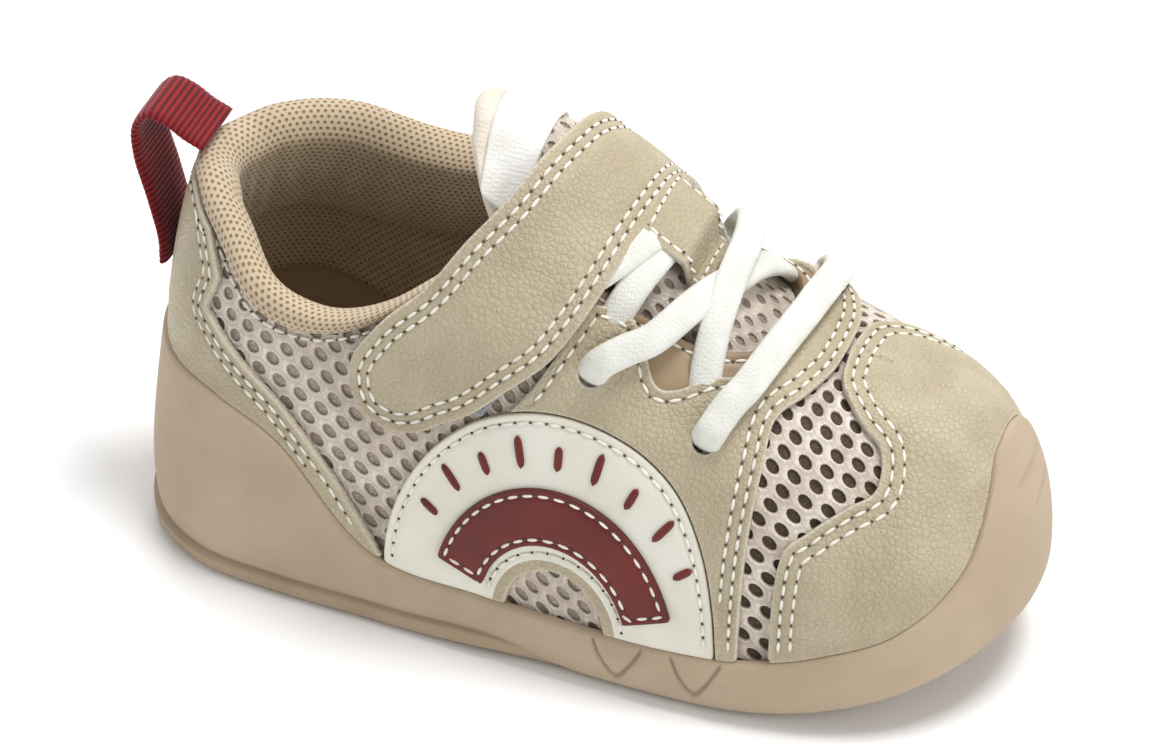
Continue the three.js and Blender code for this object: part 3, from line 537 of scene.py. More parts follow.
def make_piece(name, points, faces, materials=(), layers=None, face_material=None, weld=0.02, outward=False):
    """A mesh object from points in millimetres of the shoe; layers are numbers or vectors for each point."""
    mesh = bpy.data.meshes.new(name)
    mesh.from_pydata(in_frame(points).tolist(), [], faces.tolist() if isinstance(faces, np.ndarray) else faces)
    for material in materials:
        mesh.materials.append(material)
    if face_material is not None:
        mesh.polygons.foreach_set("material_index", np.asarray(face_material, np.int32))
    for layer, values in (layers or {}).items():
        values = np.asarray(values, np.float32)
        kind, field = ("FLOAT", "value") if values.ndim == 1 else ("FLOAT_VECTOR", "vector")
        mesh.attributes.new(layer, kind, "POINT").data.foreach_set(field, values.ravel())
    if weld or outward:
        mend(mesh, weld * MM, outward)
    mesh.polygons.foreach_set("use_smooth", np.ones(len(mesh.polygons), bool))
    mesh.update()
    piece = bpy.data.objects.new(name, mesh)
    bpy.context.scene.collection.objects.link(piece)
    return piece


def mend(mesh, weld, outward):
    """Joins points closer than the weld and turns the faces outwards, as far as either is asked for."""
    work = bmesh.new()
    work.from_mesh(mesh)
    if weld:
        bmesh.ops.remove_doubles(work, verts=work.verts, dist=weld)
        bmesh.ops.dissolve_degenerate(work, edges=work.edges, dist=weld / 10)
    if outward:
        bmesh.ops.recalc_face_normals(work, faces=work.faces)
    work.to_mesh(mesh)
    work.free()


def keep_piece(piece, slot, *nodes):
    """The piece stands for its nodes in the frame's one body."""
    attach(piece, "root")
    if nodes:
        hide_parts(*nodes)
    return piece


def border(faces):
    """Directed edges of a patch that only one triangle has."""
    edges = np.concatenate([faces[:, [0, 1]], faces[:, [1, 2]], faces[:, [2, 0]]])
    ordered = np.sort(edges, 1)
    _, index, count = np.unique(ordered, axis=0, return_index=True, return_counts=True)
    return edges[index[count == 1]]


def shell(top, bottom, faces):
    """Closes a patch's top and bottom with a wall along its border."""
    count = len(top)
    edges = border(faces)
    walls = np.concatenate([
        np.stack([edges[:, 1], edges[:, 0], edges[:, 0] + count], 1),
        np.stack([edges[:, 1], edges[:, 0] + count, edges[:, 1] + count], 1),
    ])
    return np.concatenate([top, bottom]), np.concatenate([faces, faces[:, ::-1] + count, walls])


# Node trees

def add_node(tree, kind, inputs=None, **settings):
    """A node with its settings; inputs are sockets to link or plain values, by name or number."""
    node = tree.nodes.new(kind)
    for name, value in settings.items():
        setattr(node, name, value)
    for key, value in (inputs or {}).items():
        socket = node.inputs[key]
        if isinstance(value, bpy.types.NodeSocket):
            tree.links.new(value, socket)
        else:
            socket.default_value = value
    return node


def math_node(tree, operation, *values):
    return add_node(tree, "ShaderNodeMath", dict(enumerate(values)), operation=operation).outputs[0]


def new_tree(name, numbers, material):
    """A geometry tree that takes named numbers and a material, and the sockets of what it is given."""
    tree = bpy.data.node_groups.new(name, "GeometryNodeTree")
    tree.interface.new_socket("Geometry", in_out="INPUT", socket_type="NodeSocketGeometry")
    for number in numbers:
        tree.interface.new_socket(number, in_out="INPUT", socket_type="NodeSocketFloat")
    tree.interface.new_socket(material, in_out="INPUT", socket_type="NodeSocketMaterial")
    tree.interface.new_socket("Geometry", in_out="OUTPUT", socket_type="NodeSocketGeometry")
    return tree, add_node(tree, "NodeGroupInput").outputs


def named(tree, name, kind="FLOAT_VECTOR"):
    return add_node(tree, "GeometryNodeInputNamedAttribute", {"Name": name}, data_type=kind).outputs[0]


def clad(tree, geometry, material):
    """Ends a tree: its geometry made real and smooth, in the material."""
    real = add_node(tree, "GeometryNodeRealizeInstances", {0: geometry}).outputs[0]
    smooth = add_node(tree, "GeometryNodeSetShadeSmooth", {0: real}).outputs[0]
    result = add_node(tree, "GeometryNodeSetMaterial", {"Geometry": smooth, "Material": material}).outputs[0]
    add_node(tree, "NodeGroupOutput", {0: result})
    return tree


def colour(red, green, blue):
    """Linear colour from 0 to 255 display values."""
    linear = [((c / 255 + 0.055) / 1.055) ** 2.4 if c > 10 else c / 255 / 12.92 for c in (red, green, blue)]
    return (*linear, 1)


class Finish:
    """A material under way: its tree, its coordinates in metres, and its shader."""

    def __init__(self, name, **shader):
        self.material = bpy.data.materials.new(name)
        self.material.use_nodes = True
        self.tree = self.material.node_tree
        self.shader = self.tree.nodes["Principled BSDF"]
        for key, value in shader.items():
            self.shader.inputs[key.replace("_", " ")].default_value = value
        self.place = add_node(self.tree, "ShaderNodeTexCoord").outputs["Object"]

    def noise(self, size_mm, detail=3, roughness=0.5, place=None):
        return add_node(
            self.tree, "ShaderNodeTexNoise",
            {"Vector": place or self.place, "Scale": 1000 / size_mm, "Detail": detail, "Roughness": roughness},
        ).outputs["Fac"]

    def cells(self, size_mm, feature="F1", place=None, **inputs):
        values = {"Vector": place or self.place, "Scale": 1000 / size_mm}
        return add_node(self.tree, "ShaderNodeTexVoronoi", values | inputs, feature=feature).outputs["Distance"]

    def layer(self, name):
        return add_node(self.tree, "ShaderNodeAttribute", attribute_name=name).outputs["Fac"]

    def math(self, operation, *values):
        return math_node(self.tree, operation, *values)

    def ramp(self, value, low, high, to_low=0.0, to_high=1.0):
        values = {0: value, 1: low, 2: high, 3: to_low, 4: to_high}
        return add_node(self.tree, "ShaderNodeMapRange", values, interpolation_type="SMOOTHSTEP").outputs[0]

    def mix(self, factor, first, second, blend="MIX"):
        values = {0: factor, 6: first, 7: second}
        return add_node(self.tree, "ShaderNodeMix", values, data_type="RGBA", blend_type=blend).outputs[2]

    def bumps(self, *layers):
        """Bumps one over another, each a height, its depth in millimetres and its strength."""
        normal = None
        for height, depth_mm, strength in layers:
            values = {"Strength": strength, "Distance": depth_mm * MM, "Height": height}
            if normal is not None:
                values["Normal"] = normal
            normal = add_node(self.tree, "ShaderNodeBump", values).outputs[0]
        return normal

    def finish(self, base, normal, roughness=None):
        self.tree.links.new(base, self.shader.inputs["Base Color"])
        self.tree.links.new(normal, self.shader.inputs["Normal"])
        if roughness is not None:
            self.tree.links.new(roughness, self.shader.inputs["Roughness"])
        return self.material


def pebbled_leather(name, base, dark, pale):
    """Grained leather: pebbles with fine creases between them, painted shade in the creases, a soft sheen and
    pale cut edges.
    """
    f = Finish(name, Specular_IOR_Level=0.42, Coat_Weight=0.06, Coat_Roughness=0.45)
    bent = add_node(f.tree, "ShaderNodeVectorMath", {0: f.place, 1: (1, 1, 1)}, operation="ADD")
    wobble = add_node(f.tree, "ShaderNodeTexNoise", {"Vector": f.place, "Scale": 420.0, "Detail": 2.0})
    shift = {0: wobble.outputs["Color"], "Scale": 0.0007}
    small = add_node(f.tree, "ShaderNodeVectorMath", shift, operation="SCALE")
    f.tree.links.new(small.outputs[0], bent.inputs[1])
    pebbles = f.cells(0.95, "SMOOTH_F1", bent.outputs[0], Smoothness=0.35)
    creases = f.cells(0.95, "DISTANCE_TO_EDGE", bent.outputs[0])
    groove = f.ramp(creases, 0.0, 0.2)
    swell = f.noise(9, 2)
    fine = f.noise(0.35, 3)
    height = f.math("ADD", f.math("MULTIPLY", groove, 0.35), f.math("MULTIPLY", pebbles, -0.7))
    normal = f.bumps((height, 0.22, 0.95), (fine, 0.02, 0.6), (swell, 0.5, 0.12))
    tone = f.mix(f.ramp(swell, 0.3, 0.7), base, dark)
    # Painted shade: the creases darkened a little
    tone = f.mix(f.ramp(creases, 0.0, 0.16, 0.07, 0.0), tone, dark, "MULTIPLY")
    tone = f.mix(f.layer("cut_edge"), tone, pale)
    rough = f.ramp(f.math("ADD", groove, f.math("MULTIPLY", fine, 0.4)), 0.2, 1.4, 0.62, 0.47)
    return f.finish(tone, normal, rough)


def smooth_leather(name, base, dark, pale, sheen=0.5):
    f = Finish(name, Specular_IOR_Level=sheen, Coat_Weight=0.05, Coat_Roughness=0.4)
    pores = f.cells(0.55, "F1")
    swell = f.noise(11, 2)
    fine = f.noise(0.5, 4)
    normal = f.bumps((pores, 0.03, 0.5), (fine, 0.03, 0.5), (swell, 0.5, 0.12))
    tone = f.mix(f.ramp(swell, 0.25, 0.75), base, dark)
    tone = f.mix(f.layer("cut_edge"), tone, pale)
    rough = f.ramp(fine, 0.2, 0.8, 0.46, 0.6)
    return f.finish(tone, normal, rough)


def moulded_rubber(name, base, dark):
    """Matte rubber with a fine moulded grain, and painted shade where it is cut in."""
    f = Finish(name, Specular_IOR_Level=0.38)
    grain = f.noise(0.45, 4, 0.6)
    bloom = f.noise(14, 3)
    specks = f.cells(0.7, "F1")
    normal = f.bumps((grain, 0.06, 0.55), (specks, 0.02, 0.4))
    tone = f.mix(f.ramp(bloom, 0.3, 0.7), base, dark)
    # Painted shade in the cuts and grooves, as strong as the depth layer
    shade = f.math("MULTIPLY", f.layer("depth"), 0.45)
    tone = f.mix(shade, tone, (0.35, 0.26, 0.18, 1), "MULTIPLY")
    rough = f.ramp(grain, 0.25, 0.75, 0.6, 0.74)
    return f.finish(tone, normal, rough)


def knit(name, base, dark, pitch_mm, depth_mm):
    """Fine dotted knit: small dimples in offset rows with painted shade in them, and a soft fuzz."""
    f = Finish(name, Roughness=0.92, Specular_IOR_Level=0.2, Sheen_Weight=0.25, Sheen_Roughness=0.5)
    dimple = f.cells(pitch_mm, "F1", Randomness=0.25)
    hole = f.ramp(dimple, 0.16, 0.42)
    yarn = f.noise(0.25, 2)
    swell = f.noise(12, 2)
    normal = f.bumps((hole, depth_mm, 0.8), (yarn, 0.05, 0.6))
    tone = f.mix(f.ramp(swell, 0.3, 0.7), base, dark)
    # Painted shade in the dimples
    tone = f.mix(f.ramp(hole, 0.0, 1.0, 0.55, 0.0), tone, dark, "MULTIPLY")
    return f.finish(tone, normal)


def dotted_lining(name, base, dark, pitch_mm):
    """Fine lining cloth with rows of small holes darkened with painted shade, laid out flat by the weave_
    layers.
    """
    f = Finish(name, Roughness=0.9, Specular_IOR_Level=0.2, Sheen_Weight=0.25, Sheen_Roughness=0.5)
    m = f.math
    half, row = pitch_mm * MM / 2, pitch_mm * MM * 0.8
    distances = []
    for shift in (0, 1):
        x = m("WRAP", m("ADD", f.layer("weave_along"), half * shift), half, -half)
        y = m("WRAP", m("ADD", f.layer("weave_down"), row * shift), row, -row)
        distances.append(m("SQRT", m("ADD", m("MULTIPLY", x, x), m("MULTIPLY", y, y))))
    near = m("MINIMUM", *distances)
    uneven = m("ADD", near, m("MULTIPLY", f.noise(1.3, 2), 0.00012))
    hole = f.ramp(uneven, 0.00018, 0.00042, 1.0, 0.0)
    yarn = f.noise(0.3, 2)
    normal = f.bumps((m("SUBTRACT", 1.0, hole), 0.22, 0.9), (yarn, 0.05, 0.6))
    shaded = [c * 0.93 for c in base[:3]] + [1]
    tone = f.mix(f.ramp(f.noise(12, 2), 0.3, 0.7), base, shaded)
    # Painted shade in the holes
    tone = f.mix(m("MULTIPLY", hole, 0.8), tone, dark)
    return f.finish(tone, normal)


def backing_cloth(name, base, dark):
    """The layer seen through the open mesh, darker towards the toe."""
    f = Finish(name, Roughness=0.92, Specular_IOR_Level=0.15, Sheen_Weight=0.2, Sheen_Roughness=0.5)
    yarn = f.cells(0.5, "F1")
    normal = f.bumps((yarn, 0.12, 0.8))
    tone = f.mix(f.layer("dark"), base, dark)
    tone = f.mix(f.ramp(yarn, 0.1, 0.6, 0.0, 0.4), tone, dark, "MULTIPLY")
    return f.finish(tone, normal)


def spacer_mesh(name, base, dark, hole_wall_shade):
    """Open spacer knit: twisted pale yarn round each hole, with painted shade in the twist's grooves, between
    the rings and down the hole's wall.
    """
    f = Finish(name, Roughness=0.8, Specular_IOR_Level=0.3, Sheen_Weight=0.3, Sheen_Roughness=0.45)
    m = f.math
    ring, angle = f.layer("hole_ring"), f.layer("hole_angle")
    twist = m("SINE", m("ADD", m("MULTIPLY", angle, 9.0), m("MULTIPLY", ring, 2.6)))
    fibre = f.noise(0.3, 3)
    swell = f.noise(8, 2)
    normal = f.bumps((m("ADD", m("MULTIPLY", twist, 0.5), m("MULTIPLY", fibre, 0.8)), 0.1, 0.75))
    tone = f.mix(f.ramp(swell, 0.3, 0.7), base, dark)
    # Painted shade: in the twist's grooves, in the low edge between holes, and down the hole's wall
    tone = f.mix(f.ramp(twist, -1.0, 0.2, 0.3, 0.0), tone, dark)
    tone = f.mix(f.ramp(ring, 0.05, 0.6, 0.35, 0.0), tone, dark)
    tone = f.mix(f.ramp(ring, 2.0, 3.6, 0.0, 0.85), tone, hole_wall_shade)
    return f.finish(tone, normal)


def cord_cloth(name, base, dark):
    f = Finish(name, Roughness=0.6, Specular_IOR_Level=0.35, Sheen_Weight=0.2, Sheen_Roughness=0.4)
    braid = f.cells(0.55, "F1", Randomness=0.4)
    fuzz = f.noise(0.3, 3)
    normal = f.bumps((braid, 0.12, 0.9), (fuzz, 0.02, 0.5))
    tone = f.mix(f.ramp(f.noise(5, 2), 0.3, 0.7), base, dark)
    return f.finish(tone, normal)


def red_webbing(name, base, dark):
    f = Finish(name, Roughness=0.8, Specular_IOR_Level=0.25, Sheen_Weight=0.35, Sheen_Roughness=0.4)
    yarn = f.cells(0.5, "F1", Randomness=0.5)
    fuzz = f.noise(0.25, 3)
    normal = f.bumps((yarn, 0.08, 0.8), (fuzz, 0.03, 0.5))
    # Painted shade in the troughs between the ribs
    tone = f.mix(f.ramp(f.layer("rib"), 0.1, 0.9), dark, base)
    return f.finish(tone, normal)


def loop_nap(name, base, dark):
    f = Finish(name, Roughness=0.95, Specular_IOR_Level=0.15, Sheen_Weight=0.6, Sheen_Roughness=0.6)
    loops = f.noise(0.7, 5, 0.7)
    normal = f.bumps((loops, 0.4, 0.9))
    # Painted shade where the loops sink
    tone = f.mix(f.ramp(loops, 0.35, 0.65), dark, base)
    return f.finish(tone, normal)


LEATHER = pebbled_leather("sand leather", colour(188, 176, 149), colour(176, 163, 136), colour(216, 208, 190))
CREAM = smooth_leather("cream leather", colour(232, 230, 218), colour(224, 220, 206), colour(205, 196, 176))
RED = smooth_leather("brick leather", colour(112, 33, 26), colour(96, 30, 23), colour(80, 30, 24), 0.35)
BROWN_EDGE = smooth_leather("throat binding", colour(164, 142, 112), colour(146, 124, 96), colour(128, 106, 80))
RUBBER = moulded_rubber("tan rubber", colour(184, 165, 141), colour(175, 156, 132))
TREAD_RUBBER = moulded_rubber("tread rubber", colour(177, 156, 129), colour(168, 147, 120))
# The third colour is the painted shade down the holes
MESH = spacer_mesh("spacer mesh", colour(236, 226, 214), colour(206, 192, 178), colour(124, 106, 92))
BACKING = backing_cloth("mesh backing", colour(202, 188, 173), colour(98, 84, 72))
# The lining's darker colour is the painted shade in its holes
LINING = dotted_lining("dotted lining", colour(201, 182, 153), colour(112, 90, 62), 1.12)
INSOLE_CLOTH = knit("insole cloth", colour(196, 172, 138), colour(164, 140, 108), 1.6, 0.1)
THREAD = cord_cloth("cream thread", colour(240, 237, 228), colour(226, 221, 208))
LACE = cord_cloth("white lace", colour(228, 228, 221), colour(216, 215, 207))
LABEL = cord_cloth("plain label", colour(240, 239, 234), colour(228, 226, 219))
# The darker colour is painted shade for the ribs' troughs
WEBBING = red_webbing("red webbing", colour(142, 26, 32), colour(80, 13, 18))
BINDING_CLOTH = cord_cloth("tongue binding", colour(228, 220, 206), colour(212, 203, 188))
# Painted shade for the needle holes: small dark beads
HOLE_SHADE = smooth_leather("needle hole", colour(96, 82, 62), colour(80, 68, 50), colour(80, 68, 50), 0.2)
NAP = loop_nap("loop nap", colour(160, 157, 172), colour(118, 115, 130))


# Fields and layers that several pieces share

UNDER_LEATHER = 2 * GAP + OVERLAY
STITCH_ROWS = []
OUTLINE_COUNT = 60  # points of a line drawn in plan
SIDE_COUNT = 90  # points of a line drawn from the side


def flat(rows, *keys):
    """Places of a table in the plane of the side view or the plan."""
    return np.stack([rows["along"] * SOLE_LENGTH] + [rows[k] for k in keys], -1)


def plan_line(rows, key, side):
    return smooth_line(flat(rows, key) * [1, side * BALL_WIDTH], OUTLINE_COUNT) + [0, RIDGE_SHIFT]


def is_lateral(patch):
    return patch["turn"] % 1 <= 0.5


def side_field(patch, outline, side=0):
    """Positive inside an outline seen from the side, on the lateral side (-1), the medial one (1) or both."""
    field = inside(place(patch)[:, [0, 2]], outline)
    if side:
        field = np.where(is_lateral(patch) == (side < 0), field, -np.abs(field) - 1)
    return field


def plan_field(patch, outline):
    return inside(place(patch)[:, :2], outline)


def collar_line(side):
    turn = np.linspace(0, COLLAR["along"][-1], SIDE_COUNT)
    z = read(COLLAR, "lateral" if side < 0 else "medial", turn) * INSTEP_HEIGHT
    around = turn if side < 0 else 1 - turn
    return last_point(around, lift_at(around, z))[:, [0, 2]]


def above_collar(patch):
    fields = []
    for side in (-1, 1):
        line = collar_line(side)
        high = 2 * INSTEP_HEIGHT
        back = line[0, 0] - 40
        outline = np.vstack([[[back, line[0, 1]]], line, [[line[-1, 0], high], [back, high]]])
        fields.append(inside(place(patch)[:, [0, 2]], outline))
    return np.where(is_lateral(patch), *fields)


def in_throat(patch, rows):
    outline = np.vstack([plan_line(rows, "lateral", -1), plan_line(rows, "medial", 1)[::-1]])
    high = place(patch)[:, 2] - 0.35 * INSTEP_HEIGHT
    return np.minimum(plan_field(patch, outline), high)


def above_cup(patch, rise=0.75):
    return place(patch)[:, 2] - section(patch["turn"], "cup") - rise


EYELETS = ((0.547, -0.5), (0.672, -0.5), (0.6, 0.47), (0.7, 0.42))


def clear_of_eyelets(patch):
    """Distance from the edge of the nearest eyelet."""
    along, girth = np.transpose(EYELETS)
    centres = last_point(turn_at(along * SOLE_LENGTH, girth), 1 - np.abs(girth))
    points = place(patch)
    return np.min([np.linalg.norm(points - centre, axis=1) for centre in centres], axis=0) - EYELET_RADIUS


def ridge_arc():
    """Distance over the last from the ridge down to each lift, for every turn."""
    turns = np.linspace(0, 1, 481)
    lifts = np.linspace(0, 1, 121)
    grid = last_point(*np.meshgrid(turns, lifts, indexing="ij"))
    steps = np.linalg.norm(np.diff(grid, axis=1), axis=-1)
    return np.concatenate([np.cumsum(steps[:, ::-1], 1)[:, ::-1], np.zeros((len(turns), 1))], 1)


RIDGE_ARC = ridge_arc()


def girth_length(turn, lift):
    a = (np.asarray(turn) % 1) * (RIDGE_ARC.shape[0] - 1)
    b = np.clip(lift, 0, 1) * (RIDGE_ARC.shape[1] - 1)
    i = np.minimum(a.astype(int), RIDGE_ARC.shape[0] - 2)
    j = np.minimum(b.astype(int), RIDGE_ARC.shape[1] - 2)
    p = a - i
    q = b - j
    low = RIDGE_ARC[i, j] * (1 - p) + RIDGE_ARC[i + 1, j] * p
    high = RIDGE_ARC[i, j + 1] * (1 - p) + RIDGE_ARC[i + 1, j + 1] * p
    return low * (1 - q) + high * q


def weld_patch(patch):
    """Joins points that lie in one place, such as both sides of the ridge and the seam at the heel."""
    rounded = np.round(place(patch) * 500 + 0.137).astype(np.int64)
    _, first, inverse = np.unique(rounded, axis=0, return_index=True, return_inverse=True)
    faces = inverse.reshape(-1)[patch.faces]
    good = (faces[:, 0] != faces[:, 1]) & (faces[:, 1] != faces[:, 2]) & (faces[:, 2] != faces[:, 0])
    patch.faces = faces[good]
    patch.fields = {name: column[first] for name, column in patch.fields.items()}


def wrinkle(points, size, seed):
    """Slow uneven swell from a few crossed waves, from -1 to 1."""
    random = np.random.default_rng(seed)
    total = np.zeros(len(points))
    for _ in range(5):
        direction = random.normal(size=3)
        direction /= np.linalg.norm(direction)
        length = size * random.uniform(0.7, 1.5)
        total += np.sin(points @ direction * 2 * np.pi / length + random.uniform(0, 7))
    return total / 5


# Stitches

STITCH_LENGTH = 2.0
STITCH_PITCH = 2.6
SMALL_PITCH = 2.2
THREAD_WIDTH = 0.55
STITCH_CLEAR = 1.3  # least distance of a row from the piece's other edges
SEAT_DEPTH = 0.22
SEAT_WIDTH = 0.55


def stitch_along(path, normals, pitch=STITCH_PITCH):
    """Stitches one after another on a path of points in millimetres."""
    steps = np.linalg.norm(np.diff(path, axis=0), axis=1)
    travelled = np.concatenate([[0], np.cumsum(steps)])
    count = int(travelled[-1] / pitch)
    if count < 1:
        return
    middle = (np.arange(count) + 0.5) * travelled[-1] / count

    def at(distance, values):
        return np.stack([np.interp(distance, travelled, values[:, k]) for k in range(3)], -1)

    heading = at(middle + 0.4, path) - at(middle - 0.4, path)
    STITCH_ROWS.append((at(middle, path), heading, at(middle, normals)))


def stitch_rows(patch, key, insets, surface):
    """Rows of stitches that follow an edge of a patch; surface gives the offset of its face."""
    for inset in insets:
        probe = patch.copy()
        line = probe.cut(key, inset)
        used, line = np.unique(line, return_inverse=True)
        turn, lift = probe["turn"][used], probe["lift"][used]
        points = skin(turn, lift, surface)
        rounded = np.round(points * 50).astype(int)
        _, first, same = np.unique(rounded, axis=0, return_index=True, return_inverse=True)
        line = same.reshape(-1)[line.reshape(-1, 2)]
        points, normals = points[first], last_normal(turn, lift)[first]
        free = probe["inset"][used][first] > min(STITCH_CLEAR, inset - 0.02)
        for chain in chains(line[line[:, 0] != line[:, 1]]):
            chain = np.array(chain)
            for run in np.split(chain, np.flatnonzero(np.diff(free[chain].astype(int))) + 1):
                if len(run) > 3 and free[run[0]]:
                    stitch_along(points[run], normals[run])


def seat_at(patch, rows):
    """How far the face is drawn in along its stitch rows."""
    drawn = np.zeros(len(patch["inset"]))
    for key, insets in rows.items():
        for inset in insets:
            drawn = np.maximum(drawn, hill(patch[key], inset, SEAT_WIDTH))
    return drawn * SEAT_DEPTH * smoothstep(patch["inset"], 0.5, 1.2)


def lay(name, patch, cuts, material, slot, node, rows=None, thickness=OVERLAY, low=GAP - 0.2, base=GAP,
        rounding=0.3, puff=0.0, fields=None):
    """A cut piece laid on the last: its edges stand up square with a small rounding."""
    rows = rows or {}
    for key, values in cuts.items():
        patch[key] = reach(patch, values)
    patch["inset"] = np.min([patch[key] for key in cuts], axis=0)
    patch.keep("inset")
    for key, insets in rows.items():
        stitch_rows(patch, key, insets, base + thickness - 0.1)
    for level in (0.12 * rounding / 0.3, rounding, 0.9):
        patch.cut("inset", level)
    for key, insets in rows.items():
        for inset in insets:
            for side in (-0.5, 0, 0.5):
                patch.cut(key, inset + side)
    if fields is not None:
        patch.cut(*fields)
    weld_patch(patch)
    inset = patch["inset"]
    fall = 1 - np.clip(inset / rounding, 0, 1)
    points = place(patch)
    swell = 0.1 * wrinkle(points, 17, len(name)) * smoothstep(inset, 0.5, 4) + puff * smoothstep(inset, 1.5, 6)
    rounded = rounding * (1 - np.sqrt(np.maximum(1 - fall**2, 0)))
    height = base + thickness - rounded - seat_at(patch, rows) + swell
    top = skin(patch["turn"], patch["lift"], height)
    bottom = skin(patch["turn"], patch["lift"], low)
    points, faces = shell(top, bottom, patch.faces)
    cut_edge = np.concatenate([1 - smoothstep(inset, 0.0, 0.45), np.ones(len(inset))]) * 0.8
    materials = material if isinstance(material, list) else [material]
    face_material = None
    if fields is not None:
        face_material = np.zeros(len(faces), int)
        key, level = fields
        face_material[:len(patch.faces)] = patch[key][patch.faces].mean(1) < level
    piece = make_piece(name, points, faces, materials, {"cut_edge": cut_edge}, face_material)
    keep_piece(piece, slot, node)


def from_cup(turn):
    """The lift just under the cup's edge, where the leather starts."""
    return lift_at(turn, section(turn, "cup") - 1)


# Upper

CUP_TUCK = 3.0
HOLE_PITCH = 3.5
HOLE_RADIUS = 1.12
CLOTH_SPAN = 200.0  # side of the square of cloth that the lattice is laid out on
CLOTH_SINK = 0.6
CLOTH_SHIFT = 80  # from the back of the sole to the middle of that square
DARK_FROM, DARK_FULL = 84, 94  # where the layer under the mesh turns dark


